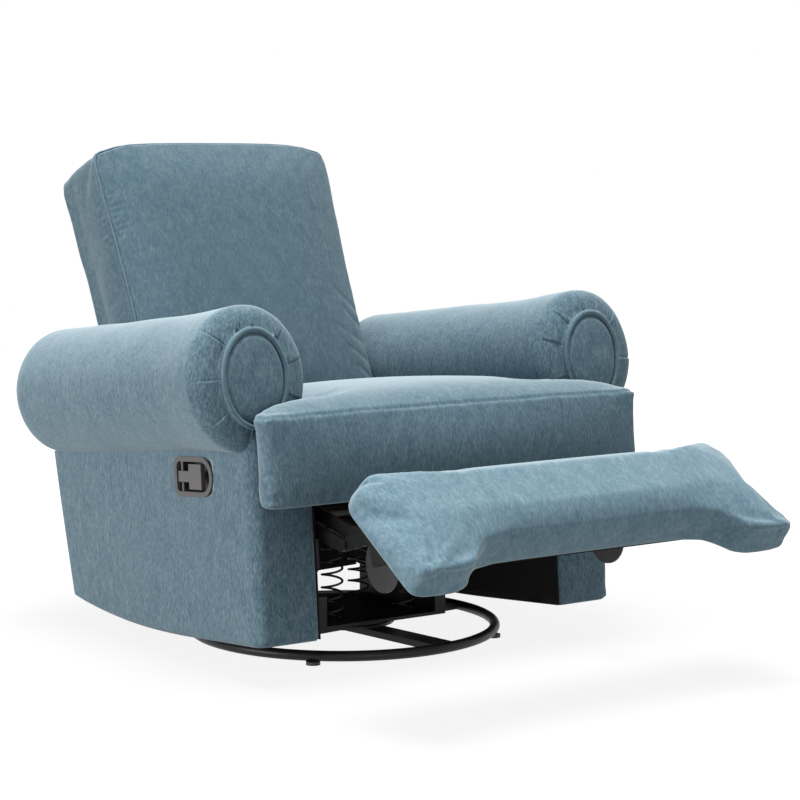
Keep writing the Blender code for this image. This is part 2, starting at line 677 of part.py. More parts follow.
roll_seat_pitch = math.degrees(math.atan(box_top_slope))
for side_name, side in SIDES.items():
    arm_place = Vector((side * ARM_X, ARM_FRONT_Y, ARM_CENTRE_Z))
    seat = box_mesh((-ARM_LENGTH, -ARM_LENGTH, -ARM_LENGTH), (ARM_LENGTH, 2.0 * ARM_LENGTH, 0.0))
    seat_pitch = math.radians(roll_seat_pitch + ARM_DROP_DEG)
    seat_z = BOX_TOP_FRONT_Z + box_top_slope * (ARM_FRONT_Y - BOX_FRONT_Y) + CLEARANCE - ARM_CENTRE_Z
    seat.transform(Matrix.Translation((0.0, 0.0, seat_z)) @ Matrix.Rotation(seat_pitch, 4, "X"))
    roll = combine(roll_mesh(), [seat], "DIFFERENCE")
    add_part(f"arm_roll_{side_name}", roll, rock, IN_ROCK + arm_place, "fabric", -ARM_DROP_DEG)
    facing = plate_mesh([oval_points(FACING_HALF_WIDTH, FACING_HALF_HEIGHT)],
                        -CLEARANCE - FACING_THICKNESS, -CLEARANCE, "Y")
    add_part(f"arm_facing_{side_name}", facing, rock, IN_ROCK + arm_place, "fabric", -ARM_DROP_DEG)
    reach = WELT_RADIUS + CLEARANCE
    welt_oval = oval_points(FACING_HALF_WIDTH + reach, FACING_HALF_HEIGHT + reach)
    welt_points = [(x, -reach, z) for x, z in welt_oval]
    welt = tube_mesh(welt_points, WELT_RADIUS, 1, True)
    add_part(f"arm_welt_{side_name}", welt, rock, IN_ROCK + arm_place, "piping", -ARM_DROP_DEG)

# Seat deck on the rails
deck_low = rail_top + CLEARANCE
deck_top = deck_low + DECK_THICKNESS
deck_half = lining_inner - CLEARANCE
deck = box_mesh((-deck_half, DECK_FRONT_Y, deck_low), (deck_half, DECK_FRONT_Y + DECK_LENGTH, deck_top))
add_part("seat_deck", deck, rock, IN_ROCK, "board", smooth=False)


def soft_mesh(low, high, columns, rows, layers, shape, levels=1):
    """A padded form: a box cage cut into columns, rows and layers, shaped by a rule and then subdivided.

    The rule takes each cage point as shares from -1 to 1 of the box and gives its place.
    """
    form = bmesh.new()
    bmesh.ops.create_cube(form, size=2.0)
    for axis, count in ((0, columns), (1, rows), (2, layers)):
        along = [e for e in form.edges if abs((e.verts[0].co - e.verts[1].co)[axis]) > 0.5 * 2.0]
        bmesh.ops.subdivide_edges(form, edges=along, cuts=count - 1, use_grid_fill=True)
    centre = (Vector(low) + Vector(high)) / 2.0
    half = (Vector(high) - Vector(low)) / 2.0
    for vert in form.verts:
        share = vert.co.copy()
        place = Vector((centre[i] + half[i] * full(share[i]) for i in range(3)))
        vert.co = shape(share, place)
    bmesh.ops.recalc_face_normals(form, faces=form.faces)
    mesh = bpy.data.meshes.new("soft")
    form.to_mesh(mesh)
    form.free()
    holder = bpy.data.objects.new("soft", mesh)
    parts.objects.link(holder)
    smoothing = holder.modifiers.new("soften", "SUBSURF")
    smoothing.levels = levels
    smoothing.render_levels = levels
    bpy.context.view_layer.update()
    return evaluated_mesh(holder)


def full(share):
    """Push a cage loop out towards the border, so that the padding stays full at its seams."""
    return math.copysign(1.0 - (1.0 - abs(share)) ** SEAM_FULLNESS, share)


def bulge(first, second):
    """A crown that is full in the middle and nothing at the borders."""
    return (1.0 - first ** 4) * (1.0 - second ** 4)


# Seat cushion: T-shaped, with ears before both arms, a crowned top and a boxed front that hangs over the deck
ear_rear_y = CUSHION_FRONT_Y + CUSHION_EAR_DEPTH
cushion_low = deck_top + CLEARANCE


def seat_form(share, place):
    """Shape of the seat cushion."""
    row = round((share.y + 1.0) / 2.0 * SEAT_ROWS)
    row_y = SEAT_ROW_Y[row]
    half = CUSHION_HALF_WIDTH if row < SEAT_EAR_ROWS else CUSHION_SEAT_HALF_WIDTH
    if row == SEAT_EAR_ROWS:
        half -= CUSHION_NOTCH_PULL
    bottom = CUSHION_LIP_Z if row < SEAT_EAR_ROWS - 1 else cushion_low
    side = 1.0 - CUSHION_DRAW_IN / half * (1.0 - share.z ** 2)
    top = CUSHION_SEAM_Z + CUSHION_CROWN * bulge(share.x, share.y) * (share.z + 1.0) / 2.0
    return Vector((half * full(share.x) * side, row_y, bottom + (top - bottom) * (full(share.z) + 1.0) / 2.0))


SEAT_ROWS = 9
SEAT_EAR_ROWS = 3
notch_y = ear_rear_y + CUSHION_DRAW_IN
hold_y = notch_y + 2.0 * CUSHION_DRAW_IN
seat_back_rows = SEAT_ROWS - SEAT_EAR_ROWS - 1
seat_step = (CUSHION_REAR_Y - hold_y) / seat_back_rows
SEAT_ROW_Y = [CUSHION_FRONT_Y, CUSHION_FRONT_Y + CUSHION_EAR_DEPTH / 2.0, ear_rear_y, notch_y]
SEAT_ROW_Y += [hold_y + seat_step * step for step in range(seat_back_rows + 1)]
seat_mesh = soft_mesh((-1, -1, -1), (1, 1, 1), 8, SEAT_ROWS, 3, seat_form)
add_part("seat_cushion", seat_mesh, rock, IN_ROCK, "fabric")

# Release cup and paddle on the left side box
flange_outer = cup_face_x - CLEARANCE - CUP_FLANGE_THICKNESS
flange_inner = cup_face_x - CLEARANCE
cup_floor = cup_face_x + CUP_DEPTH - CLEARANCE
body_inset = CUP_FLANGE + CLEARANCE
flange = plate_mesh([cup_outline(0.0)], flange_outer, flange_inner)
cup_body = plate_mesh([cup_outline(body_inset)], flange_inner - CUP_WALL, cup_floor)
cup_hollow = plate_mesh([cup_outline(body_inset + CUP_WALL)], flange_outer - CUP_WALL, cup_floor - CUP_WALL)
cup = combine(combine(flange, [cup_body], "UNION"), [cup_hollow], "DIFFERENCE")
add_part("handle_cup", cup, rock, IN_ROCK, "grey_plastic", smooth=False)
hollow_inset = body_inset + CUP_WALL
stem_end = cup_rear_y - hollow_inset - PADDLE_END_GAP
stem_half = PADDLE_STEM_HEIGHT / 2.0
pin_y = stem_end - stem_half
head_start = stem_end - PADDLE_STEM_LENGTH
head_end = head_start - PADDLE_HEAD_LENGTH
head_half = PADDLE_HEAD_HEIGHT / 2.0
paddle_pivot = Vector((flange_outer + PADDLE_SETBACK + PADDLE_THICKNESS / 2.0, pin_y, CUP_CENTRE_Z))
handle = empty_on_axis("handle_axis", rock, IN_ROCK + paddle_pivot)
paddle_corners = [(stem_end, -stem_half), (stem_end, stem_half), (head_start, stem_half),
                  (head_start, head_half), (head_end, head_half), (head_end, -head_half),
                  (head_start, -head_half), (head_start, -stem_half)]
paddle_outline = [(y - pin_y, z) for y, z in paddle_corners]
paddle = plate_mesh([paddle_outline], -PADDLE_THICKNESS / 2.0, PADDLE_THICKNESS / 2.0)
pin_bore = rod_mesh((0, 0, -CUP_HEIGHT), (0, 0, CUP_HEIGHT), HANDLE_PIN_RADIUS + PIN_PLAY)
paddle = combine(paddle, [pin_bore], "DIFFERENCE")
add_part("handle_paddle", paddle, handle, (0, 0, 0), "grey_plastic", smooth=False)
pin_reach = flange_front_r - hollow_inset - CLEARANCE
handle_pin = rod_mesh((0, 0, -pin_reach), (0, 0, pin_reach), HANDLE_PIN_RADIUS)
add_part("handle_pin", handle_pin, rock, IN_ROCK + paddle_pivot, "grey_steel")

# Back: cushion and outside back panel, carried by two brackets that turn on the rail pins
back = empty_on_axis("back_axis", rock, IN_ROCK + back_pivot, -BACK_LEAN_DEG)
back_top = BACK_LOW + BACK_HEIGHT
cushion_rear = BACK_CUSHION_DEPTH - BACK_FRONT_OFFSET


def flare_at(height):
    """How far the back's sides stand out at a height above its hinge: they widen above the arms."""
    return BACK_FLARE * min(max((height - BACK_FLARE_LOW) / (back_top - BACK_FLARE_LOW), 0.0), 1.0)


def back_form(share, place):
    """Shape of the back cushion: crowned front and top, drawn-in sides that flare, flat rear."""
    front = (1.0 - share.y) / 2.0
    side = 1.0 - BACK_DRAW_IN / BACK_HALF_WIDTH * (1.0 - share.y ** 2)
    crown = BACK_CROWN * bulge(share.x, share.z) * front ** 2
    rise = BACK_TOP_CROWN * (1.0 - share.x ** 4) * (share.z + 1.0) / 2.0
    flare = share.x * flare_at(place.z)
    return Vector((place.x * side + flare, place.y - crown, place.z + rise))


back_low_corner = (-BACK_HALF_WIDTH, -BACK_FRONT_OFFSET, BACK_LOW)
back_high_corner = (BACK_HALF_WIDTH, cushion_rear, back_top)
back_mesh = soft_mesh(back_low_corner, back_high_corner, 6, 3, 6, back_form)
add_part("back_cushion", back_mesh, back, (0, 0, 0), "fabric")
panel_low = cushion_rear + CLEARANCE
panel_half = BACK_HALF_WIDTH - BACK_PANEL_MARGIN
panel_outline = []
panel_top_half = panel_half + BACK_FLARE
for step in range(PANEL_TOP_STEPS + 1):
    share = math.sin(math.pi * (0.5 - step / PANEL_TOP_STEPS))
    into_corner = max((abs(share) - 1.0) * panel_top_half / PANEL_CORNER + 1.0, 0.0)
    corner_drop = PANEL_CORNER * (1.0 - math.sqrt(max(1.0 - into_corner ** 2, 0.0)))
    panel_rise = BACK_TOP_CROWN * PANEL_CROWN_SHARE * (1.0 - share ** 4)
    panel_outline.append((share * panel_top_half, back_top + panel_rise - corner_drop))
panel_outline += [(-panel_half, BACK_FLARE_LOW), (-panel_half, BACK_LOW)]
panel_outline += [(panel_half, BACK_LOW), (panel_half, BACK_FLARE_LOW)]
panel_mesh = plate_mesh([panel_outline[::-1]], panel_low, panel_low + BACK_PANEL_DEPTH, "Y")
add_part("back_panel", panel_mesh, back, (0, 0, 0), "fabric", smooth=False)
bracket_high = rail_inner - CLEARANCE
bracket_low = bracket_high - BACK_BRACKET_THICKNESS
half_strap = BACK_BRACKET_WIDTH / 2.0
strap = arc_points((0.0, 0.0), half_strap, 180.0, 360.0, 10) + [
    (panel_low + BACK_PANEL_DEPTH - CLEARANCE, BACK_LOW - CLEARANCE), (-half_strap, BACK_LOW - CLEARANCE)]
for side_name, side in SIDES.items():
    low, high = sided(side, bracket_low, bracket_high)
    bracket = plate_mesh([strap, circle_points((0.0, 0.0), BACK_PIN_RADIUS + PIN_PLAY)], low, high)
    add_part(f"back_bracket_{side_name}", bracket, back, (0, 0, 0), "black_steel", smooth=False)

# Linkage empties and links
fold = empty_on_axis("fold_axis", rock, IN_ROCK + fold_pivot)
elbow = empty_on_axis("elbow_axis", fold, elbow_open - fold_pivot)
cross = empty_on_axis("cross_link_axis", rock, IN_ROCK + cross_pivot)
footrest = empty_on_axis("footrest_axis", elbow, foot_open - elbow_open, -PAD_PITCH_DEG)
half_link = LINK_WIDTH / 2.0
hole = PIN_RADIUS + PIN_PLAY
for side_name, side in SIDES.items():
    low, high = sided(side, front_link_low, front_link_high)
    outline = slot_outline(FRONT_LINK_LENGTH, half_link)
    front_link = plate_mesh([outline, circle_points((0.0, 0.0), hole)], low, high)
    root = Vector((side * (front_link_low + LINK_THICKNESS / 2.0), FRONT_LINK_LENGTH, 0.0))
    tip = Vector((side * (foot_link_low + CLEARANCE), FRONT_LINK_LENGTH, 0.0))
    front_link = combine(front_link, [rod_mesh(root, tip, PIN_RADIUS)], "UNION")
    add_part(f"front_link_{side_name}", front_link, fold, (0, 0, 0), "black_steel", front_open, False)
    low, high = sided(side, foot_link_low, foot_link_high)
    holes = [circle_points((0.0, 0.0), hole), circle_points((FOOT_LINK_LENGTH, 0.0), hole)]
    foot_link = plate_mesh([slot_outline(FOOT_LINK_LENGTH, half_link)] + holes, low, high)
    ear_half = GUARD_RADIUS * GUARD_EAR_SHARE
    ear = [(GUARD_ALONG - ear_half, 0.0), (GUARD_ALONG + ear_half, 0.0),
           (GUARD_ALONG + ear_half, GUARD_BELOW), (GUARD_ALONG - ear_half, GUARD_BELOW)]
    foot_link = combine(foot_link, [plate_mesh([ear], low, high)], "UNION")
    add_part(f"foot_link_{side_name}", foot_link, elbow, (0, 0, 0), "black_steel", foot_open_angle, False)
    low, high = sided(side, guard_low, guard_high)
    guard = plate_mesh([circle_points((GUARD_ALONG, GUARD_BELOW), GUARD_RADIUS, 28)], low, high)
    add_part(f"guard_disc_{side_name}", guard, elbow, (0, 0, 0), "black_plastic", foot_open_angle, False)
    low, high = sided(side, cross_link_low, cross_link_high)
    cross_link = plate_mesh([slot_outline(cross_length, half_link), circle_points((0.0, 0.0), hole)], low, high)
    cross_angle = angle_to(cross_pivot, cross_open)
    add_part(f"cross_link_{side_name}", cross_link, cross, (0, 0, 0), "black_steel", cross_angle, False)
tube_y = FRONT_LINK_LENGTH * TORQUE_TUBE_SHARE
tube_end = front_link_low - CLEARANCE
torque_tube = rod_mesh((-tube_end, tube_y, 0.0), (tube_end, tube_y, 0.0), TORQUE_TUBE_RADIUS)
add_part("torque_tube", torque_tube, fold, (0, 0, 0), "black_steel", front_open)

# Footrest: pad on a board, modelled folded away, facing -Y, from its pivot
pad_back = PAD_THICKNESS - PAD_FACE
pad_low = PAD_TOP - PAD_LENGTH
PAD_COLUMNS = 10
pad_half_columns = PAD_COLUMNS // 2
tab_width = PAD_HALF_WIDTH - PAD_NOTCH_HALF_WIDTH
PAD_COLUMN_X = [0.0, PAD_NOTCH_HALF_WIDTH / 2.0, PAD_NOTCH_HALF_WIDTH - PAD_CROWN / 2.0,
                PAD_NOTCH_HALF_WIDTH + PAD_CROWN / 2.0, PAD_NOTCH_HALF_WIDTH + tab_width / 2.0, PAD_HALF_WIDTH]


def pad_form(share, place):
    """Shape of the footrest pad: crowned face, notched lower edge between two corner tabs."""
    column = round(abs(share.x) * pad_half_columns)
    x = math.copysign(PAD_COLUMN_X[column], share.x)
    low = pad_low if column > 2 else pad_low + PAD_NOTCH_DEPTH
    crown = PAD_CROWN * bulge(share.x, share.z) * (1.0 - share.y) / 2.0
    return Vector((x, place.y - crown, low + (PAD_TOP - low) * (full(share.z) + 1.0) / 2.0))


pad = soft_mesh((-1, PAD_CROWN - PAD_FACE, -1), (1, pad_back, 1), PAD_COLUMNS, 2, 5, pad_form)
add_part("footrest_pad", pad, footrest, (0, 0, 0), "fabric")
board_low = pad_back + CLEARANCE
board_back = board_low + BOARD_THICKNESS
board_half = PAD_HALF_WIDTH - BOARD_MARGIN
board_bottom = pad_low + PAD_NOTCH_DEPTH + BOARD_NOTCH_MARGIN
board = box_mesh((-board_half, board_low, board_bottom), (board_half, board_back, PAD_TOP - BOARD_MARGIN / 2.0))
add_part("footrest_board", board, footrest, (0, 0, 0), "lining", smooth=False)
mount_face = board_back + CLEARANCE
strip = arc_points((0.0, 0.0), half_link, 90.0, -90.0, 10)
strip += [(mount_face + PIN_RADIUS, -FOOT_BRACKET_HEIGHT), (mount_face, -FOOT_BRACKET_HEIGHT)]
strip += [(mount_face, half_link)]
for side_name, side in SIDES.items():
    low, high = sided(side, front_link_low, front_link_high)
    bracket = plate_mesh([strip], low, high)
    root = Vector((side * (front_link_low + LINK_THICKNESS / 2.0), 0.0, 0.0))
    tip = Vector((side * (foot_link_low + CLEARANCE), 0.0, 0.0))
    bracket = combine(bracket, [rod_mesh(root, tip, PIN_RADIUS)], "UNION")
    add_part(f"footrest_bracket_{side_name}", bracket, footrest, (0, 0, 0), "black_steel", smooth=False)
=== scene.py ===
"""Swivel rocker recliner in slub blue chenille, rocked back with its footrest out."""
import math
import random

import bmesh
import bpy
import numpy
from mathutils import Matrix, Vector, bvhtree, kdtree, noise


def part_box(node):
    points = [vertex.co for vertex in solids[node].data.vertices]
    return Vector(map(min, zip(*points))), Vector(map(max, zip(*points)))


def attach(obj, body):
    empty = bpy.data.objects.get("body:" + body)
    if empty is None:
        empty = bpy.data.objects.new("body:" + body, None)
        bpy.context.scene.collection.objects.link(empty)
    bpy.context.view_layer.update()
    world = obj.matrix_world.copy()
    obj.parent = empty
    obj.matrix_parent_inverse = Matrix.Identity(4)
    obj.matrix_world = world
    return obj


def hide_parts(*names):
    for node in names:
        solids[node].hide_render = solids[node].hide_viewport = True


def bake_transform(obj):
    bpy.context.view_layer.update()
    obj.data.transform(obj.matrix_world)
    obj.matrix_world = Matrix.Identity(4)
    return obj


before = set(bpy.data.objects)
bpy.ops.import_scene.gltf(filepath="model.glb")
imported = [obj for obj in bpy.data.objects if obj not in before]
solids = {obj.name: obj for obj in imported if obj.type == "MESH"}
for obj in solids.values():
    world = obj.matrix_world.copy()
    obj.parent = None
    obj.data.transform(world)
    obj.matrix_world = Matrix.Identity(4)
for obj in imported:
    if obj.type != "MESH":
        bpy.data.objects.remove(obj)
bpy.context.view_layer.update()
scene = bpy.context.scene

# Camera
# The photograph is taken from the chair's front left, a little above the arms, with a long lens.
# Its place, direction and focal length were fitted to the ring, the arms and the cushion seams.
PICTURE_PIXELS = 800.0
FOCAL_PIXELS = 2280.12
camera_yaw = math.radians(35.3265)
camera_pitch = math.radians(-6.0757)
camera_data = bpy.data.cameras.new("studio_camera")
camera_data.sensor_width = 36.0
camera_data.lens = camera_data.sensor_width * FOCAL_PIXELS / PICTURE_PIXELS
camera = bpy.data.objects.new("studio_camera", camera_data)
scene.collection.objects.link(camera)
level = math.cos(camera_pitch)
looking = Vector((math.sin(camera_yaw) * level, math.cos(camera_yaw) * level, math.sin(camera_pitch)))
camera.location = (-2.361, -3.4233, 0.890)
camera.rotation_euler = looking.to_track_quat("-Z", "Y").to_euler()
scene.camera = camera
scene.view_settings.view_transform = "Standard"


# Studio
# A white photo studio: a large soft lamp overhead, weaker ones at the chair's left and in front, weak light
# from all around, and a pale floor that looks white and keeps the chair's shadow.
class Thread:
    """One socket of a finish's node tree. Sums on it add Math nodes."""

    def __init__(self, tree, socket=None):
        self.tree = tree
        self.socket = socket

    def node(self, kind, settings, inputs, output=0):
        """Add a node: its settings first, then the values or links of its sockets."""
        made = self.tree.nodes.new(kind)
        for name, value in settings.items():
            if name == "stops":
                ramp = made.color_ramp
                for place, colour in value[2:]:
                    ramp.elements.new(place)
                for element, (place, colour) in zip(ramp.elements, sorted(value)):
                    element.position = place
                    element.color = (*colour, 1.0)
            else:
                setattr(made, name, value)
        for name, value in inputs.items():
            if isinstance(value, Thread):
                self.tree.links.new(value.socket, made.inputs[name])
            else:
                made.inputs[name].default_value = value
        return None if output is None else Thread(self.tree, made.outputs[output])

    def other(self, output):
        """Another output of the same node."""
        return Thread(self.tree, self.socket.node.outputs[output])

    def sum(self, operation, first, second):
        return self.node("ShaderNodeMath", {"operation": operation}, {0: first, 1: second})

    def __add__(self, value):
        return self.sum("ADD", self, value)

    def __sub__(self, value):
        return self.sum("SUBTRACT", self, value)

    def __mul__(self, value):
        return self.sum("MULTIPLY", self, value)


def bare_tree(owner):
    """A thread into the emptied node tree of a world or a material."""
    owner.use_nodes = True
    owner.node_tree.nodes.clear()
    return Thread(owner.node_tree)


def seen_directly(start):
    """1 for light that reaches the camera straight, by a mirror or through glass."""
    path = start.node("ShaderNodeLightPath", {}, {}, "Is Camera Ray")
    straight = path + path.other("Is Glossy Ray") + path.other("Is Transmission Ray")
    return start.node("ShaderNodeMath", {"operation": "MINIMUM"}, {0: straight, 1: 1.0})


AMBIENT_STRENGTH = 0.27
world = bpy.data.worlds.new("studio_air")
scene.world = world
air = bare_tree(world)
WHITE = (1.0, 1.0, 1.0, 1.0)
soft_air = air.node("ShaderNodeBackground", {}, {"Color": WHITE, "Strength": AMBIENT_STRENGTH})
white_air = air.node("ShaderNodeBackground", {}, {"Color": WHITE, "Strength": 1.0})
air_mix = air.node("ShaderNodeMixShader", {}, {0: seen_directly(air), 1: soft_air, 2: white_air})
air.node("ShaderNodeOutputWorld", {}, {"Surface": air_mix}, None)

FLOOR_HALF = 6.0
FLOOR_WHITENESS = 0.72
FLOOR_GLOW = 1.22
SHADOW_NEAR = 0.7
SHADOW_FAR = 1.7
floor_mesh = bpy.data.meshes.new("studio_floor")
floor_corners = [(FLOOR_HALF * x, FLOOR_HALF * y, 0.0) for x, y in ((-1, -1), (1, -1), (1, 1), (-1, 1))]
floor_mesh.from_pydata(floor_corners, [], [(0, 1, 2, 3)])
floor = bpy.data.objects.new("studio_floor", floor_mesh)
scene.collection.objects.link(floor)
floor_finish = bpy.data.materials.new("pale_floor")
ground = bare_tree(floor_finish)
ground_paint = ground.node("ShaderNodeBsdfDiffuse", {}, {"Color": (0.35, 0.35, 0.35, 1.0)})
ground_white = ground.node("ShaderNodeEmission", {}, {"Color": WHITE, "Strength": FLOOR_GLOW})
ground_place = ground.node("ShaderNodeTexCoord", {}, {}, "Object")
ground_far = ground.node("ShaderNodeVectorMath", {"operation": "LENGTH"}, {0: ground_place}, "Value")
ground_fade = ground.node("ShaderNodeMapRange", {}, {
    "Value": ground_far, "From Min": SHADOW_NEAR, "From Max": SHADOW_FAR,
    "To Min": FLOOR_WHITENESS, "To Max": 1.0})
ground_share = seen_directly(ground) * ground_fade
ground_mix = ground.node("ShaderNodeMixShader", {}, {0: ground_share, 1: ground_paint, 2: ground_white})
ground.node("ShaderNodeOutputMaterial", {}, {"Surface": ground_mix}, None)
floor_mesh.materials.append(floor_finish)
CHAIR_MIDDLE = Vector((0.0, 0.0, 0.45))


def studio_lamp(name, place, size, power):
    """A square soft lamp that faces the chair's middle."""
    lamp_data = bpy.data.lights.new(name, "AREA")
    lamp_data.size = size
    lamp_data.energy = power
    lamp = bpy.data.objects.new(name, lamp_data)
    lamp.location = place
    aim = CHAIR_MIDDLE - Vector(place)
    lamp.rotation_euler = aim.to_track_quat("-Z", "Y").to_euler()
    scene.collection.objects.link(lamp)


studio_lamp("key_lamp", (-0.55, -0.40, 5.90), 2.5, 392.0)
studio_lamp("side_lamp", (-4.00, 0.40, 0.62), 0.9, 74.0)
studio_lamp("front_lamp", (-0.90, -4.20, 0.45), 1.6, 26.0)


# Ring base
# A ring of black powder-coated steel tube on four plastic glides, with two flat bars crossed inside it.
# The bars are welded to the ring and carry the swivel bearing.
def cord_mesh(name, points, radius, sides, closed):
    """A round cord along points, with its own smooth skin."""
    count = len(points)
    rings = []
    for step, point in enumerate(points):
        if closed:
            along = points[(step + 1) % count] - points[step - 1]
        else:
            along = points[min(step + 1, count - 1)] - points[max(step - 1, 0)]
        along.normalize()
        if step == 0:
            across = along.orthogonal().normalized()
        across = (across - along * across.dot(along)).normalized()
        beside = along.cross(across)
        ring = []
        for side in range(sides):
            angle = 2.0 * math.pi * side / sides
            ring.append(point + radius * (math.cos(angle) * across + math.sin(angle) * beside))
        rings.append(ring)
    if closed:
        rings.append(rings[0])
        return skin_mesh(name, rings)
    return skin_mesh(name, rings, points[0], points[-1])


def weld(mesh, distance):
    """Join the points of a mesh that lie together, and turn its faces outward."""
    form = bmesh.new()
    form.from_mesh(mesh)
    bmesh.ops.remove_doubles(form, verts=form.verts, dist=distance)
    bmesh.ops.recalc_face_normals(form, faces=form.faces)
    form.to_mesh(mesh)
    form.free()


def skin_mesh(name, rings, first_centre=None, last_centre=None):
    """A smooth skin through closed rings of points, with a fan to a centre point at either end."""
    count = len(rings[0])
    points = [point for ring in rings for point in ring]
    faces = []
    for row in range(len(rings) - 1):
        for step in range(count):
            following = (step + 1) % count
            near = row * count
            far = near + count
            faces.append((near + step, near + following, far + following, far + step))
    for centre, row in ((first_centre, 0), (last_centre, len(rings) - 1)):
        if centre is None:
            continue
        points.append(centre)
        for step in range(count):
            faces.append((row * count + step, row * count + (step + 1) % count, len(points) - 1))
    mesh = bpy.data.meshes.new(name)
    mesh.from_pydata(points, [], faces)
    weld(mesh, 0.00001)
    mesh.shade_smooth()
    return mesh


def new_finish(name):
    """A new material, its main shader, a thread into its node tree, and the place on the piece."""
    finish = bpy.data.materials.new(name)
    finish.use_nodes = True
    start = Thread(finish.node_tree)
    place = start.node("ShaderNodeTexCoord", {}, {}, "Object")
    return finish, finish.node_tree.nodes["Principled BSDF"], start, place


def feed(finish, shader, **sockets):
    """Set or link the main shader's sockets; underscores stand for the spaces in their names."""
    for name, value in sockets.items():
        socket = shader.inputs[name.replace("_", " ")]
        if isinstance(value, Thread):
            finish.node_tree.links.new(value.socket, socket)
        else:
            socket.default_value = value


def blended(start, share, first, second):
    """A colour between two colours."""
    settings = {"data_type": "RGBA", "clamp_factor": True}
    first = first if isinstance(first, Thread) else (*first, 1.0)
    second = second if isinstance(second, Thread) else (*second, 1.0)
    return start.node("ShaderNodeMix", settings, {0: share, 6: first, 7: second}, 2)


def cloudy(start, place, scale, detail=3.0, roughness=0.5):
    """Soft noise from 0 to 1; scale is in waves a metre, one number or one for each direction."""
    if isinstance(scale, (int, float)):
        scale = (scale, scale, scale)
    stretched = start.node("ShaderNodeVectorMath", {"operation": "MULTIPLY"}, {0: place, 1: scale})
    return start.node("ShaderNodeTexNoise", {}, {
        "Vector": stretched, "Scale": 1.0, "Detail": detail, "Roughness": roughness})


def raised(start, strength, distance, height):
    """Bumps of a height, for a shader's normal."""
    return start.node("ShaderNodeBump", {}, {"Strength": strength, "Distance": distance, "Height": height})


def coated_steel(name, dark, light, gloss):
    """Powder-coated steel: orange-peel skin, slight dust and rubbed places."""
    finish, shader, start, place = new_finish(name)
    peel = cloudy(start, place, 900.0, 2.0)
    rubbed = cloudy(start, place, 26.0, 5.0, 0.6)
    skin = raised(start, 0.18, 0.0004, peel)
    feed(finish, shader, Base_Color=blended(start, rubbed, dark, light), Metallic=0.25,
         Roughness=rubbed * 0.22 + gloss, Specular_IOR_Level=0.32, Normal=skin)
    return finish


def add_piece(name, mesh, place, body, finish):
    """Put a new piece in its place, on the body that carries it."""
    piece = bpy.data.objects.new(name, mesh)
    scene.collection.objects.link(piece)
    piece.matrix_world = place
    mesh.materials.clear()
    mesh.materials.append(finish)
    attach(piece, body)
    return piece


def finish_solid(name, finish, edge):
    """Give a solid its finish and ease its edges."""
    solid = solids[name]
    for material_slot in solid.material_slots:
        material_slot.material = finish
    easing = solid.modifiers.new("eased_edges", "BEVEL")
    easing.width = edge
    easing.segments = 2
    easing.limit_method = "ANGLE"
    easing.angle_limit = math.radians(35.0)


HERE = Matrix.Identity(4)
SWIVEL_Y = 0.09048
RING_RADIUS = 0.284
RING_TUBE = 0.0095
RING_STEPS = 144
ring_low, ring_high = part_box("base_ring")
ring_z = (ring_low.z + ring_high.z) / 2.0
black_coat = coated_steel("black_powder_coat", (0.007, 0.007, 0.007), (0.017, 0.017, 0.017), 0.30)
ring_points = []
for step in range(RING_STEPS):
    turn = 2.0 * math.pi * step / RING_STEPS
    ring_x = RING_RADIUS * math.cos(turn)
    ring_y = SWIVEL_Y + RING_RADIUS * math.sin(turn)
    ring_points.append(Vector((ring_x, ring_y, ring_z)))
ring_mesh = cord_mesh("ring_tube", ring_points, RING_TUBE, 20, True)
ring = add_piece("ring_tube", ring_mesh, HERE, "base", black_coat)
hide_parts("base_ring")
finish_solid("base_cross", black_coat, 0.0015)
finish_solid("lower_bearing", black_coat, 0.0008)


def moulded_plastic(name, dark, light, gloss):
    """Moulded plastic with a fine spark-eroded grain."""
    finish, shader, start, place = new_finish(name)
    grain = cloudy(start, place, 1400.0, 3.0, 0.6)
    scuffs = cloudy(start, place, 55.0, 5.0, 0.65)
    skin = raised(start, 0.30, 0.0003, grain)
    feed(finish, shader, Base_Color=blended(start, scuffs, dark, light), Roughness=scuffs * 0.18 + gloss,
         Normal=skin)
    return finish


black_mould = moulded_plastic("black_moulding", (0.012, 0.012, 0.012), (0.026, 0.026, 0.026), 0.42)
for number in range(4):
    finish_solid(f"glide_{number + 1}", black_mould, 0.0015)

# Swivel and rocker
# The upper bearing plate turns on the king pin, and the folded steel channel bolted on it carries the cams.
# Both are stamped steel, the plate zinc plated and the channel powder coated.
plated = coated_steel("zinc_plate", (0.085, 0.085, 0.088), (0.150, 0.150, 0.152), 0.32)
for node in ("upper_bearing", "king_pin"):
    finish_solid(node, plated, 0.0006)
for node in ("rocker_base", "rocker_cam_left", "rocker_cam_right", "crossbar_front", "crossbar_rear"):
    finish_solid(node, black_coat, 0.0016)
for node in ("seat_rail_left", "seat_rail_right"):
    finish_solid(node, black_coat, 0.0010)


# Rocker springs
# Four open coils of oil-tempered wire between the channel's floor and the cross bars.
# They bend as the real chair rocks; here each is a straight coil between its solid's foot and head, set on no
# body.
def add_bent(name, mesh, finish, node):
    """Put a piece in place of its solid, fixed in the world and set on no body."""
    piece = bpy.data.objects.new(name, mesh)
    scene.collection.objects.link(piece)
    mesh.materials.append(finish)
    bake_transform(piece)
    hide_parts(node)


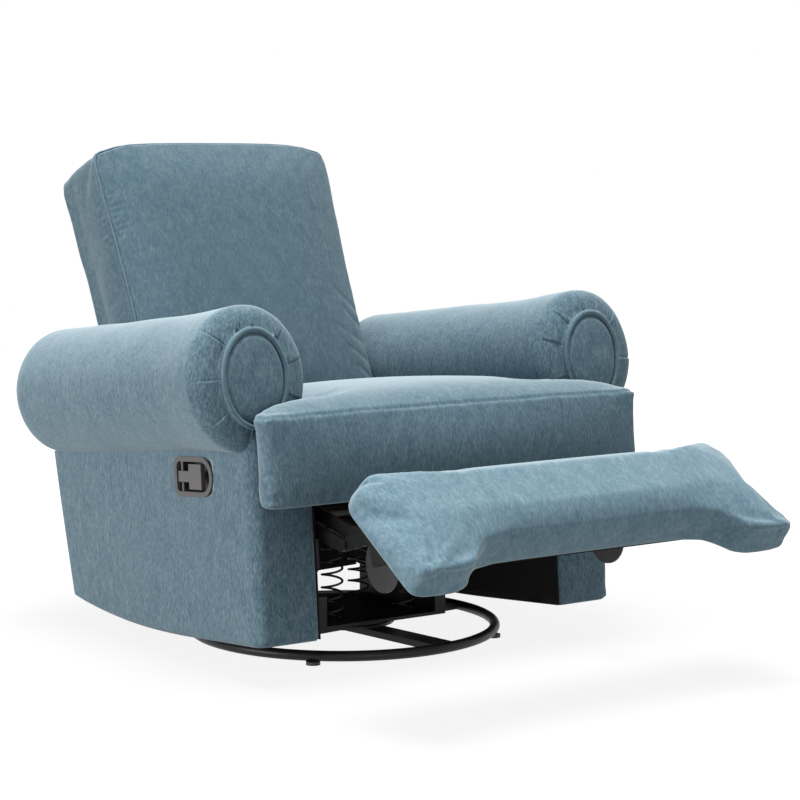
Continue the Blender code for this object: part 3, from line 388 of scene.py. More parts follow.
SPRING_RADIUS = 0.019
SPRING_WIRE = 0.0022
SPRING_TURNS = 6
SPRING_STEPS = 26
spring_steel = coated_steel("spring_wire", (0.016, 0.016, 0.016), (0.045, 0.044, 0.043), 0.30)
for row in ("front", "rear"):
    for side_name in ("left", "right"):
        node = f"rocker_spring_{row}_{side_name}"
        low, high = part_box(node)
        middle = (low + high) / 2.0
        foot = Vector((middle.x, middle.y, low.z + SPRING_WIRE))
        head = Vector((middle.x, middle.y, high.z - SPRING_WIRE))
        coil = []
        for step in range(SPRING_TURNS * SPRING_STEPS + 1):
            share = step / (SPRING_TURNS * SPRING_STEPS)
            turn = 2.0 * math.pi * SPRING_TURNS * share
            around = Vector((math.cos(turn), math.sin(turn), 0.0))
            coil.append(foot.lerp(head, share) + SPRING_RADIUS * around)
        coil_name = f"coil_{row}_{side_name}"
        coil_mesh = cord_mesh(coil_name, coil, SPRING_WIRE, 10, False)
        add_bent(coil_name, coil_mesh, spring_steel, node)


# Side boxes
# The arm bases are timber frames with a thin pad, covered in slub blue chenille that runs up and down.
# The cover is pulled round the front edge, folded in at the swept hem and stapled inside.
def chenille(name, along, weight=1.0, painted_light_scale=1.0):
    """Chenille: fine short streaks along the pile, soft mottling, and a painted pale sheen where it is seen
    edge on.

    Along names the one or two directions that the pile runs in. The last number scales the cloth's colours:
    below 1 it is painted shade on pieces that the lamps light too much, above 1 painted light on pieces they
    light too little.
    """
    finish, shader, start, place = new_finish(name)
    fine = [PILE_FINE_ALONG if axis in along else PILE_FINE_ACROSS for axis in "xyz"]
    streaks = cloudy(start, place, fine, 3.0, 0.60)
    slubs = cloudy(start, place, [value * 0.33 for value in fine], 3.0, 0.55)
    mottle = cloudy(start, place, [30.0 if axis in along else 46.0 for axis in "xyz"], 3.0, 0.55)
    worn = (streaks - 0.5) * (1.60 * weight) + (slubs - 0.5) * (0.50 * weight) + (mottle - 0.5) * 0.50 + 0.5
    stops = []
    # The three colours are scaled by the painted light level: darker is painted shade, lighter is painted
    # light.
    for spot, colour in ((0.0, PILE_DARK), (1.0, PILE_LIGHT), (0.5, PILE_MIDDLE)):
        stops.append((spot, tuple(painted_light_scale * share for share in colour)))
    shade = start.node("ShaderNodeValToRGB", {"stops": stops}, {0: worn})
    facing = start.node("ShaderNodeLayerWeight", {}, {"Blend": 0.5}, "Facing")
    # Painted sheen: the colour turns pale where the cloth is seen edge on, standing in for light glancing off
    # the pile.
    painted_sheen = start.node("ShaderNodeMath", {"operation": "POWER"}, {0: facing, 1: 3.2})
    tint = blended(start, painted_sheen * 0.75, shade, PILE_SHEEN_PAINT)
    pile = raised(start, 0.30, 0.0008, streaks * 0.7 + slubs * 0.4)
    feed(finish, shader, Base_Color=tint, Roughness=0.95, Specular_IOR_Level=0.10, Normal=pile)
    return finish


PILE_FINE_ACROSS = 340.0
PILE_FINE_ALONG = 115.0
PILE_DARK = (0.064, 0.122, 0.170)
PILE_MIDDLE = (0.126, 0.204, 0.252)
PILE_LIGHT = (0.222, 0.312, 0.356)
# The pale colour of the painted sheen.
PILE_SHEEN_PAINT = (0.55, 0.65, 0.69)


def smooth_step(share):
    """0 below 0, 1 above 1, and a soft rise between."""
    share = min(max(share, 0.0), 1.0)
    return share * share * (3.0 - 2.0 * share)


def crease(point, start, end, width):
    """1 on a crease line, fading to 0 beside it and towards its ends."""
    line = end - start
    along = (point - start).dot(line) / line.length_squared
    if not -0.2 < along < 1.2:
        return 0.0
    nearest = start + line * min(max(along, 0.0), 1.0)
    ends = smooth_step((along + 0.2) / 0.5) * smooth_step((1.2 - along) / 0.5)
    return ends * math.exp(-((point - nearest).length / width) ** 2)


ROCK_Z = 0.240
CHAIR = (Matrix.Translation((0.0, SWIVEL_Y, ROCK_Z)) @ Matrix.Rotation(math.radians(-5.0), 4, "X")
         @ Matrix.Translation((0.0, 0.0, -ROCK_Z)))
BOX_INNER_X = 0.264
BOX_OUTER_X = 0.385
BOX_FRONT_Y = -0.305
BOX_REAR_LOW_Y = 0.374
BOX_REAR_HIGH_Y = 0.430
BOX_HEM_Z = 0.044
BOX_HEM_RISE = 0.045
BOX_HEM_FLAT = 0.30
BOX_HEM_SWEEP = 2.4
BOX_TOP_FRONT_Z = 0.402
BOX_TOP_REAR_Z = 0.364
CORNER_STEPS = 7
BOX_ROWS = 64
# The side panels' cloth is painted a little darker, 0.95, as painted shade.
panel_cloth = chenille("side_panel_chenille", "z", 1.2, 0.95)


def rounded_plan(low_x, high_x, low_y, high_y, radii, spacing):
    """Points round a rectangle in plan, with a radius for each corner, from the inner front corner."""
    corners = ((low_x, low_y, 180.0), (high_x, low_y, 270.0), (high_x, high_y, 0.0), (low_x, high_y, 90.0))
    arcs = []
    for (x, y, first), radius in zip(corners, radii):
        centre_x = x + radius if x == low_x else x - radius
        centre_y = y + radius if y == low_y else y - radius
        arc = []
        for step in range(CORNER_STEPS + 1):
            angle = math.radians(first + 90.0 * step / CORNER_STEPS)
            spot_x = centre_x + radius * math.cos(angle)
            spot_y = centre_y + radius * math.sin(angle)
            arc.append(Vector((spot_x, spot_y, 0.0)))
        arcs.append(arc)
    points = []
    for number, arc in enumerate(arcs):
        points += arc
        following = arcs[(number + 1) % 4][0]
        steps = max(int((following - arc[-1]).length / spacing), 1)
        points += [arc[-1].lerp(following, step / steps) for step in range(1, steps)]
    return points


def hem_height(along):
    """Height of the hem, at a share along the box from front to rear."""
    share = max(along - BOX_HEM_FLAT, 0.0) / (1.0 - BOX_HEM_FLAT)
    return BOX_HEM_Z + BOX_HEM_RISE * share ** BOX_HEM_SWEEP


def side_box_mesh(name, side):
    """The arm base's cover: a soft-edged box with a swept hem, padded out and drawn in at its seams."""
    length = BOX_REAR_LOW_Y - BOX_FRONT_Y
    plan = rounded_plan(BOX_INNER_X, BOX_OUTER_X, 0.0, length, (0.008, 0.020, 0.016, 0.006), 0.010)
    rings = []
    for row in range(BOX_ROWS + 1):
        height = row / BOX_ROWS
        rear = BOX_REAR_LOW_Y + (BOX_REAR_HIGH_Y - BOX_REAR_LOW_Y) * height
        roll_in = 0.006 * (1.0 - math.sqrt(1.0 - max(1.0 - height / 0.025, 0.0) ** 2))
        ring = []
        for spot in plan:
            along = spot.y / length
            hem = hem_height(along)
            top = BOX_TOP_FRONT_Z + (BOX_TOP_REAR_Z - BOX_TOP_FRONT_Z) * along
            point = Vector((spot.x, BOX_FRONT_Y + along * (rear - BOX_FRONT_Y), hem + height * (top - hem)))
            outward = smooth_step((spot.x - BOX_INNER_X) / 0.060)
            lengthwise = math.sin(math.pi * min(max(along, 0.0), 1.0)) ** 0.6
            filled = lengthwise * math.sin(math.pi * (0.08 + 0.86 * height))
            wave = noise.noise(Vector((side * 3.0, point.y * 7.0, point.z * 6.0)))
            point.x += outward * (0.0035 * filled + 0.0012 * wave - roll_in)
            front = smooth_step((0.05 - along * length) / 0.05)
            across = (spot.x - BOX_INNER_X) / (BOX_OUTER_X - BOX_INNER_X)
            point.y -= front * (0.004 * math.sin(math.pi * across) * math.sin(math.pi * height) - roll_in)
            flat = Vector((0.0, point.y, point.z))
            pinch = crease(flat, Vector((0.0, -0.300, 0.060)), Vector((0.0, -0.262, 0.165)), 0.008)
            tuck = crease(flat, Vector((0.0, -0.305, 0.385)), Vector((0.0, -0.215, 0.372)), 0.007)
            point.x -= outward * (0.0030 * pinch + 0.0022 * tuck)
            point.x *= side
            ring.append(point)
        rings.append(ring)
    middle = Vector((side * (BOX_INNER_X + BOX_OUTER_X) / 2.0, 0.0, BOX_HEM_Z + 0.020))
    top_middle = Vector((middle.x, 0.0, BOX_TOP_REAR_Z))
    return skin_mesh(name, rings, middle, top_middle)


def put_back(piece):
    """Turn what a piece's modifiers make into its own mesh."""
    graph = bpy.context.evaluated_depsgraph_get()
    made = bpy.data.meshes.new_from_object(piece.evaluated_get(graph))
    old = piece.data
    piece.modifiers.clear()
    piece.data = made
    bpy.data.meshes.remove(old)


def cut_slot(mesh):
    """Cut the slot for the release cup in the left cover."""
    cover = bpy.data.objects.new("slotted_cover", mesh)
    plan = rounded_plan(SLOT_Y - SLOT_HALF_LENGTH, SLOT_Y + SLOT_HALF_LENGTH, SLOT_Z - SLOT_HALF_HEIGHT,
                        SLOT_Z + SLOT_HALF_HEIGHT, (SLOT_CORNER,) * 4, 0.010)
    rings = [[Vector((x, spot.x, spot.y)) for spot in plan] for x in (-SLOT_FLOOR_X, -BOX_OUTER_X - 0.030)]
    middles = [Vector((ring[0].x, SLOT_Y, SLOT_Z)) for ring in rings]
    knife = bpy.data.objects.new("slot_knife", skin_mesh("slot_knife", rings, *middles))
    for item in (cover, knife):
        scene.collection.objects.link(item)
    slot = cover.modifiers.new("slot", "BOOLEAN")
    slot.object = knife
    slot.operation = "DIFFERENCE"
    bpy.context.view_layer.update()
    put_back(cover)
    slotted = cover.data
    for item in (cover, knife):
        bpy.data.objects.remove(item)
    return slotted


SLOT_Y = -0.1205
SLOT_Z = 0.329
SLOT_HALF_LENGTH = 0.0605
SLOT_HALF_HEIGHT = 0.0310
SLOT_CORNER = 0.014
SLOT_FLOOR_X = 0.347
SIDES = (("left", -1.0), ("right", 1.0))
for side_name, side in SIDES:
    box_cover = side_box_mesh(f"side_cover_{side_name}", side)
    if side < 0.0:
        box_cover = cut_slot(box_cover)
    cover = add_piece(f"side_cover_{side_name}", box_cover, CHAIR, "chair", panel_cloth)
    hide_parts(f"side_box_{side_name}")

# Arm rolls
# Rolls of foam and fibre over a timber rail, covered with a strip of the chenille.
# The cover is gathered in short pleats round the oval facing and pulled over a full round rear end.
ARM_X = 0.366
ARM_FRONT_Y = -0.300
ARM_CENTRE_Z = 0.497
ARM_HALF_WIDTH = 0.105
ARM_HALF_HEIGHT = 0.118
ARM_LENGTH = 0.750
ARM_DROP_DEG = 1.6
ARM_FRONT_ROUND = 0.034
ARM_FRONT_FLARE = 0.009
FRONT_PUFF = 0.003
ARM_REAR_ROUND = 0.080
FACING_HALF_WIDTH = 0.060
FACING_HALF_HEIGHT = 0.081
ROLL_STEPS = 480
PLEAT_REACH = 0.056
PLEAT_START = 0.010
PLEAT_CLOCK_DEG = (16.0, 48.0, 84.0, 109.0, 135.0, 182.0, 222.0, 262.0, 300.0, 336.0)
# The arm rolls' cloth is painted a little darker, 0.95, as painted shade.
roll_cloth = chenille("arm_roll_chenille", "z", 1.3, 0.95)


def roll_profile():
    """Steps along the roll from the facing's edge to the rear end.

    Each gives half width, half height, depth, run, and how far the skin faces out and forward.
    """
    profile = []
    for step in range(13):
        share = step / 12.0
        half_width = FACING_HALF_WIDTH + 0.002
        half_width += share * (ARM_HALF_WIDTH - ARM_FRONT_ROUND - half_width)
        half_height = FACING_HALF_HEIGHT + 0.002
        half_height += share * (ARM_HALF_HEIGHT - ARM_FRONT_ROUND - half_height)
        profile.append((half_width, half_height, -FRONT_PUFF * math.sin(math.pi * share)))
    for step in range(1, 9):
        angle = math.radians(90.0 * step / 8.0)
        grow = ARM_FRONT_ROUND * (math.sin(angle) - 1.0)
        depth = ARM_FRONT_ROUND * (1.0 - math.cos(angle))
        profile.append((ARM_HALF_WIDTH + grow, ARM_HALF_HEIGHT + grow, depth))
    straight = ARM_LENGTH - ARM_FRONT_ROUND - ARM_REAR_ROUND
    for step in range(1, 61):
        share = step / 60.0
        profile.append((ARM_HALF_WIDTH, ARM_HALF_HEIGHT, ARM_FRONT_ROUND + straight * share ** 1.5))
    for step in range(1, 13):
        angle = math.radians(86.0 * step / 12.0)
        shrink = ARM_REAR_ROUND * (math.cos(angle) - 1.0)
        depth = ARM_LENGTH - ARM_REAR_ROUND + ARM_REAR_ROUND * math.sin(angle)
        profile.append((ARM_HALF_WIDTH + shrink, ARM_HALF_HEIGHT + shrink, depth))
    run = 0.0
    steps = []
    for number, (half_width, half_height, depth) in enumerate(profile):
        before = profile[max(number - 1, 0)]
        after = profile[min(number + 1, len(profile) - 1)]
        run += math.hypot(half_height - before[1], depth - before[2])
        slope = Vector((after[1] - before[1], after[2] - before[2])).normalized()
        flare = ARM_FRONT_FLARE * math.exp(-(depth / 0.110) ** 2) * smooth_step(run / 0.055)
        steps.append((half_width + flare, half_height + flare, depth, run, slope.y, -slope.x))
    return steps


def gathers(side, seed):
    """Pleats round the facing: turn, depth, width and reach of each."""
    chance = random.Random(seed)
    pleats = []
    for clock in PLEAT_CLOCK_DEG:
        turn = math.radians(clock + chance.uniform(-3.0, 3.0))
        if side > 0.0:
            turn = math.pi - turn
        pleats.append((turn, chance.uniform(0.0014, 0.0026), chance.uniform(0.14, 0.22),
                       PLEAT_REACH * chance.uniform(0.75, 1.15)))
    return pleats


def pleat_form(away, width):
    """A tuck across a pleat: a steep fold on one side, a long slope on the other, and a line between."""
    fold = smooth_step((away + 0.014) / 0.030) * math.exp(-max(away, 0.0) / width)
    return fold - 0.90 * math.exp(-((away + 0.012) / 0.018) ** 2)


def arm_roll_mesh(name, side, seed):
    """The roll's cover, with tucks that start at the facing and run out along the roll."""
    pleats = gathers(side, seed)
    rings = []
    for half_width, half_height, depth, run, face_out, face_on in roll_profile():
        ring = []
        for step in range(ROLL_STEPS):
            turn = 2.0 * math.pi * step / ROLL_STEPS
            lift = 0.0
            for pleat_turn, pleat_depth, pleat_width, reach in pleats:
                if run < reach:
                    away = (turn - pleat_turn + math.pi) % (2.0 * math.pi) - math.pi
                    fade = 1.0 - smooth_step(2.0 * run / reach - 1.0)
                    lift += pleat_depth * fade * pleat_form(side * -away, pleat_width)
            lift *= smooth_step(run / PLEAT_START)
            spread = Vector((math.cos(turn), depth * 6.0, math.sin(turn)))
            soft = 0.0016 * noise.noise(spread * 1.6 + Vector((side * 5.0, 0.0, 0.0)))
            out = lift * face_out + soft
            ring.append(Vector(((half_width + out) * math.cos(turn), depth + lift * face_on,
                                (half_height + out) * math.sin(turn))))
        rings.append(ring)
    return skin_mesh(name, rings, Vector((0.0, 0.004, 0.0)), Vector((0.0, ARM_LENGTH, 0.0)))


# Arm facings
# An oval board padded and covered in the chenille, with a thick cord sewn round its edge,
# tacked over the ends of the pleats.
facing_cloth = chenille("facing_chenille", "yz")
cord_cloth = chenille("cord_chenille", "", 0.6)
FACING_THICKNESS = 0.0073
FACING_CROWN = 0.0055
WELT_RADIUS = 0.0046
FACING_RINGS = 30
FACING_STEPS = 112


def facing_mesh(name, side):
    """A crowned oval that dips under the cord round it."""
    rings = []
    for row in range(FACING_RINGS + 1):
        share = 1.0 - row / (FACING_RINGS + 1)
        ring = []
        for step in range(FACING_STEPS):
            turn = 2.0 * math.pi * step / FACING_STEPS
            rise = FACING_THICKNESS * smooth_step((1.0 - share) / 0.17)
            crown = FACING_CROWN * (1.0 - share ** 2)
            spread = Vector((side * 2.0, share * 3.0 * math.cos(turn), share * 3.0 * math.sin(turn)))
            wave = 0.0006 * noise.noise(spread)
            ring.append(Vector((share * FACING_HALF_WIDTH * math.cos(turn), wave - rise - crown,
                                share * FACING_HALF_HEIGHT * math.sin(turn))))
        rings.append(ring)
    return skin_mesh(name, rings, None, Vector((0.0, -FACING_THICKNESS - FACING_CROWN, 0.0)))


for side_name, side in SIDES:
    arm_place = CHAIR @ Matrix.Translation((side * ARM_X, ARM_FRONT_Y, ARM_CENTRE_Z))
    arm_place = arm_place @ Matrix.Rotation(math.radians(-ARM_DROP_DEG), 4, "X")
    roll_mesh = arm_roll_mesh(f"arm_cover_{side_name}", side, 11 if side < 0.0 else 23)
    roll = add_piece(f"arm_cover_{side_name}", roll_mesh, arm_place, "chair", roll_cloth)
    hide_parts(f"arm_roll_{side_name}")
    oval = facing_mesh(f"facing_cover_{side_name}", side)
    facing = add_piece(f"facing_cover_{side_name}", oval, arm_place, "chair", facing_cloth)
    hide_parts(f"arm_facing_{side_name}")
    welt_points = []
    for step in range(FACING_STEPS):
        turn = 2.0 * math.pi * step / FACING_STEPS
        reach = WELT_RADIUS * 0.3
        welt_points.append(Vector(((FACING_HALF_WIDTH + reach) * math.cos(turn), -WELT_RADIUS,
                                   (FACING_HALF_HEIGHT + reach) * math.sin(turn))))
    welt_mesh = cord_mesh(f"facing_cord_{side_name}", welt_points, WELT_RADIUS, 12, True)
    welt = add_piece(f"facing_cord_{side_name}", welt_mesh, arm_place, "chair", cord_cloth)
    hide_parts(f"arm_welt_{side_name}")

# Inner linings
# Black spun-bonded cloth stapled flat over the inner face of each arm base.
# It hides the timber frame beside the mechanism.
LINING_INNER_X = 0.2607
LINING_OUTER_X = 0.2637
LINING_INSET = 0.003
LINING_ROWS = 24


def spun_cloth(name, dark, light):
    """Spun-bonded dust cloth: small embossed dots and a faint fibre cloud."""
    finish, shader, start, place = new_finish(name)
    fibres = cloudy(start, place, 420.0, 5.0, 0.7)
    dots = start.node("ShaderNodeTexVoronoi", {}, {"Vector": place, "Scale": 620.0})
    cloud = cloudy(start, place, 18.0, 3.0)
    skin = raised(start, 0.4, 0.0005, dots + fibres * 0.5)
    feed(finish, shader, Base_Color=blended(start, cloud * 0.6 + fibres * 0.4, dark, light), Roughness=0.95,
         Specular_IOR_Level=0.2, Normal=skin)
    return finish


dust_cloth = spun_cloth("black_dust_cloth", (0.006, 0.006, 0.006), (0.020, 0.020, 0.021))
for side_name, side in SIDES:
    length = BOX_REAR_LOW_Y - BOX_FRONT_Y
    plan = rounded_plan(LINING_INNER_X, LINING_OUTER_X, 0.0, length, (0.001, 0.001, 0.001, 0.001), 0.014)
    rings = []
    for row in range(LINING_ROWS + 1):
        height = row / LINING_ROWS
        rear = BOX_REAR_LOW_Y + (BOX_REAR_HIGH_Y - BOX_REAR_LOW_Y) * height
        ring = []
        for spot in plan:
            along = spot.y / length
            hem = hem_height(along) + 0.002
            slack = 0.0010 * noise.noise(Vector((side * 4.0, spot.y * 14.0, height * 5.0)))
            depth = BOX_FRONT_Y + LINING_INSET + along * (rear - BOX_FRONT_Y - 2.0 * LINING_INSET)
            ring.append(Vector((side * (spot.x + slack), depth, hem + height * (BOX_TOP_REAR_Z - hem))))
        rings.append(ring)
    middle_x = side * (LINING_INNER_X + LINING_OUTER_X) / 2.0
    lining_mesh = skin_mesh(f"lining_{side_name}", rings, Vector((middle_x, 0.0, BOX_HEM_Z + 0.006)),
                            Vector((middle_x, 0.0, BOX_TOP_REAR_Z)))
    lining = add_piece(f"lining_{side_name}", lining_mesh, CHAIR, "chair", dust_cloth)
    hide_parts(f"inner_lining_{side_name}")


# Rear apron
# The same black cloth, stretched between the arm bases below the back to close the mechanism from behind.
# It is stapled along both sides and hangs in a soft hem.
def sheet_mesh(name, rows):
    """A sheet of cloth through rows of points, with its thickness."""
    back_of_cloth = Vector((0.0, CLOTH_THICKNESS, 0.0))
    return skin_mesh(name, [row + [point + back_of_cloth for point in reversed(row)] for row in rows])


APRON_HALF_WIDTH = 0.258
APRON_LOW_Y = 0.352
APRON_LEAN = 0.020
APRON_TOP_Z = 0.262
APRON_COLUMNS = 60
APRON_ROWS = 24
CLOTH_THICKNESS = 0.0016
apron_rows = []
for row in range(APRON_ROWS + 1):
    height = row / APRON_ROWS
    apron_rows.append([])
    for column in range(APRON_COLUMNS + 1):
        across = 2.0 * column / APRON_COLUMNS - 1.0
        hem = hem_height(1.0) - 0.006 - 0.006 * (1.0 - across ** 2)
        slack = (1.0 - across ** 2) * (0.010 * math.sin(math.pi * height) + 0.004 * (1.0 - height))
        fold = 0.004 * noise.noise(Vector((across * 4.0, height * 2.0, 3.0))) * (1.0 - across ** 4)
        depth = APRON_LOW_Y + APRON_LEAN * height + slack + fold
        apron_rows[row].append(Vector((APRON_HALF_WIDTH * across, depth, hem + height * (APRON_TOP_Z - hem))))
apron_mesh = sheet_mesh("apron_cloth", apron_rows)
apron = add_piece("apron_cloth", apron_mesh, CHAIR, "chair", dust_cloth)
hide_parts("rear_apron")

# Rear gusset
# A strip of the black cloth that closes the gap between the apron and the back's lower edge.
# It folds as the real back reclines; here it is built in one pose and set on no body.
GUSSET_HALF_WIDTH = 0.250
GUSSET_ROWS = 20
gusset_foot = Vector((0.0, 0.367, 0.246))
gusset_head = Vector((0.0, 0.365, 0.356))
gusset_rows = []
for row in range(GUSSET_ROWS + 1):
    height = row / GUSSET_ROWS
    strip = []
    for column in range(APRON_COLUMNS + 1):
        across = 2.0 * column / APRON_COLUMNS - 1.0
        spot = gusset_foot.lerp(gusset_head, height)
        spot.x = GUSSET_HALF_WIDTH * across
        ripple = noise.noise(Vector((across * 5.0, height * 2.0, 6.0)))
        spot.y -= math.sin(math.pi * height) * (0.004 + 0.003 * ripple)
        strip.append(CHAIR @ spot)
    gusset_rows.append(strip)
gusset_mesh = sheet_mesh("gusset_cloth", gusset_rows)
add_bent("gusset_cloth", gusset_mesh, dust_cloth, "rear_gusset")


# Seat deck
# A plywood board screwed on the rails; the seat cushion rests on it.
def plywood(name):
    """Birch plywood: long grain with darker late wood."""
    finish, shader, start, place = new_finish(name)
    grain = cloudy(start, place, (9.0, 160.0, 160.0), 5.0, 0.6)
    fibre = cloudy(start, place, (60.0, 900.0, 900.0), 3.0, 0.5)
    shade = blended(start, grain * 0.8 + fibre * 0.2, (0.34, 0.215, 0.115), (0.58, 0.42, 0.26))
    skin = raised(start, 0.2, 0.0004, grain + fibre)
    feed(finish, shader, Base_Color=shade, Roughness=grain * 0.2 + 0.60, Normal=skin)
    return finish


birch = plywood("birch_plywood")
finish_solid("seat_deck", birch, 0.0012)

# Seat cushion
# A T-shaped box cushion: foam core in a fibre wrap, covered in the chenille, with a plain seam round
# its crowned top panel. It is held to the deck at the rear and hangs over it in front.
COVER_VOXEL = 0.007
STUFFING_FRAMES = 20
SEAM_SPACING = 0.004
LINE_SWEEPS = 6
# The seat's cloth is painted a little darker, 0.97, as painted shade.
seat_cloth = chenille("seat_chenille", "yz", 0.9, 0.97)


def cut_cover(name, node, place, draw_in, held):
    """A cover cut to a solid's form, in the piece's own frame, drawn in a little where it isn't held."""
    mesh = solids[node].data.copy()
    mesh.name = name
    mesh.transform(place.inverted())
    weld(mesh, 0.00005)
    cover = bpy.data.objects.new(name, mesh)
    scene.collection.objects.link(cover)
    remesh = cover.modifiers.new("even_cloth", "REMESH")
    remesh.mode = "VOXEL"
    remesh.voxel_size = COVER_VOXEL
    bpy.context.view_layer.update()
    put_back(cover)
    inward = [(vertex.normal * draw_in * (1.0 - held(vertex.co))) for vertex in cover.data.vertices]
    for vertex, move in zip(cover.data.vertices, inward):
        vertex.co -= move
    return cover


def stuff(cover, held, pressure, most):
    """Stuff a cover by cloth simulation; held gives how firmly each point is sewn or pressed down, 0 to 1."""
    start = [vertex.co.copy() for vertex in cover.data.vertices]
    group = cover.vertex_groups.new(name="held")
    for vertex in cover.data.vertices:
        group.add([vertex.index], held(vertex.co), "REPLACE")
    cloth = cover.modifiers.new("stuffing", "CLOTH")
    settings = cloth.settings
    settings.quality = 4
    settings.mass = 0.3
    settings.tension_stiffness = 18.0
    settings.compression_stiffness = 18.0
    settings.shear_stiffness = 8.0
    settings.bending_stiffness = 1.2
    settings.use_pressure = True
    settings.uniform_pressure_force = pressure
    settings.effector_weights.gravity = 0.0
    settings.vertex_group_mass = "held"
    cloth.collision_settings.use_collision = False
    cloth.point_cache.frame_start = 1
    cloth.point_cache.frame_end = STUFFING_FRAMES
    for step in range(1, STUFFING_FRAMES + 1):
        scene.frame_set(step)
    put_back(cover)
    scene.frame_set(1)
    cover.vertex_groups.clear()
    for vertex, place in zip(cover.data.vertices, start):
        move = vertex.co - place
        if move.length > most:
            vertex.co = place + move * (most / move.length)
    smoothing = cover.modifiers.new("smooth_cloth", "SUBSURF")
    smoothing.levels = 1
    bpy.context.view_layer.update()
    put_back(cover)


def drawn_line(corners):
    """Evenly spaced points along a line through corners."""
    points = []
    for start, end in zip(corners, corners[1:]):
        start = Vector(start)
        end = Vector(end)
        steps = max(int((end - start).length / SEAM_SPACING), 1)
        points += [start.lerp(end, step / steps) for step in range(steps)]
    points.append(Vector(corners[-1]))
    return points


def nearest_share(line):
    """A function that gives how near a point is to a line: 1 on it, 0 from a width away."""
    tree = kdtree.KDTree(len(line))
    for number, point in enumerate(line):
        tree.insert(point, number)
    tree.balance()
    return lambda point, width: math.exp(-(tree.find(point)[2] / width) ** 2)


def surface_of(cover):
    """A cover's surface, to find the nearest point on it."""
    corners = [vertex.co for vertex in cover.data.vertices]
    return bvhtree.BVHTree.FromPolygons(corners, [face.vertices for face in cover.data.polygons])


def laid_on(cover, line):
    """A line laid on a cover's surface and smoothed, with the cover's normals."""
    surface = surface_of(cover)
    spots = [surface.find_nearest(point)[0] for point in line]
    for sweep in range(LINE_SWEEPS):
        inner = [(a + 2.0 * b + c) / 4.0 for a, b, c in zip(spots, spots[1:], spots[2:])]
        spots = [spots[0]] + inner + [spots[-1]]
    return [surface.find_nearest(spot)[:2] for spot in spots]


def sew(cover, laid, depth, width, pucker):
    """Draw a cover in along a seam, with small puckers beside it."""
    near = nearest_share([spot for spot, normal in laid])
    for vertex in cover.data.vertices:
        share = near(vertex.co, width)
        if share > 0.01:
            ripple = noise.noise(vertex.co * 75.0)
            vertex.co -= vertex.normal * (depth * share + pucker * ripple * near(vertex.co, 3.0 * width))


def press_creases(cover, creases):
    """Press creases into a cover: start, end, depth and width of each."""
    vertices = cover.data.vertices
    surface = surface_of(cover)
    points = numpy.empty(len(vertices) * 3)
    normals = numpy.empty(len(vertices) * 3)
    vertices.foreach_get("co", points)
    vertices.foreach_get("normal", normals)
    points = points.reshape(-1, 3)
    press = numpy.zeros(len(vertices))
    for start, end, depth, width in creases:
        start = numpy.array(surface.find_nearest(Vector(start))[0])
        line = numpy.array(surface.find_nearest(Vector(end))[0]) - start
        along = (points - start) @ line / (line @ line)
        rise = numpy.clip((along + 0.2) / 0.5, 0.0, 1.0)
        fall = numpy.clip((1.2 - along) / 0.5, 0.0, 1.0)
        ends = rise * rise * (3.0 - 2.0 * rise) * fall * fall * (3.0 - 2.0 * fall)
        away = numpy.linalg.norm(points - start - numpy.clip(along, 0.0, 1.0)[:, None] * line, axis=1)
        press += depth * ends * numpy.exp(-(away / width) ** 2)
    points -= normals.reshape(-1, 3) * press[:, None]
    vertices.foreach_set("co", points.ravel())
    cover.data.update()


def place_cover(cover, place, body, finish, node):
    """Smooth a stuffed cover and put it on the body that carries it, in place of its solid."""
    cover.data.shade_smooth()
    cover.matrix_world = place
    cover.data.materials.clear()
    cover.data.materials.append(finish)
    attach(cover, body)
    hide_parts(node)


CUSHION_FRONT_Y = -0.394
CUSHION_SEAM_Z = 0.436
DECK_TOP_Z = 0.2976
SEAT_HALF_WIDTH = 0.256
EAR_HALF_WIDTH = 0.405
EAR_WIDEST = 0.410
EAR_SEAM_Z = CUSHION_SEAM_Z + 0.006
front_corners = [(-EAR_HALF_WIDTH + 0.004, -0.320, CUSHION_SEAM_Z), (-EAR_HALF_WIDTH, -0.334, CUSHION_SEAM_Z),
                 (-EAR_HALF_WIDTH, -0.381, CUSHION_SEAM_Z)]
for step in range(1, 20):
    share = -1.0 + step / 10.0
    front_corners.append(((EAR_HALF_WIDTH - 0.012) * share, CUSHION_FRONT_Y,
                          CUSHION_SEAM_Z + 0.010 * (1.0 - share ** 2)))
front_corners += [(-x, y, z) for x, y, z in reversed(front_corners[:3])]
ear_corners = [(SEAT_HALF_WIDTH, 0.150, EAR_SEAM_Z), (SEAT_HALF_WIDTH, -0.312, EAR_SEAM_Z),
               (EAR_HALF_WIDTH - 0.004, -0.316, CUSHION_SEAM_Z)]
seat_line = drawn_line([(-x, y, z) for x, y, z in ear_corners]) + drawn_line(front_corners)
seat_line += drawn_line(list(reversed(ear_corners)))
near_seat_seam = nearest_share(seat_line)


def seat_held(point):
    """The seat cover is firm at its seam and where it rests on the deck."""
    resting = 1.0 - smooth_step((point.z - DECK_TOP_Z - 0.010) / 0.020) if point.y > -0.30 else 0.0
    hemmed = 1.0 - smooth_step((point.z - 0.284) / 0.012)
    return max(resting, hemmed, min(1.0, 1.3 * near_seat_seam(point, 0.012)))


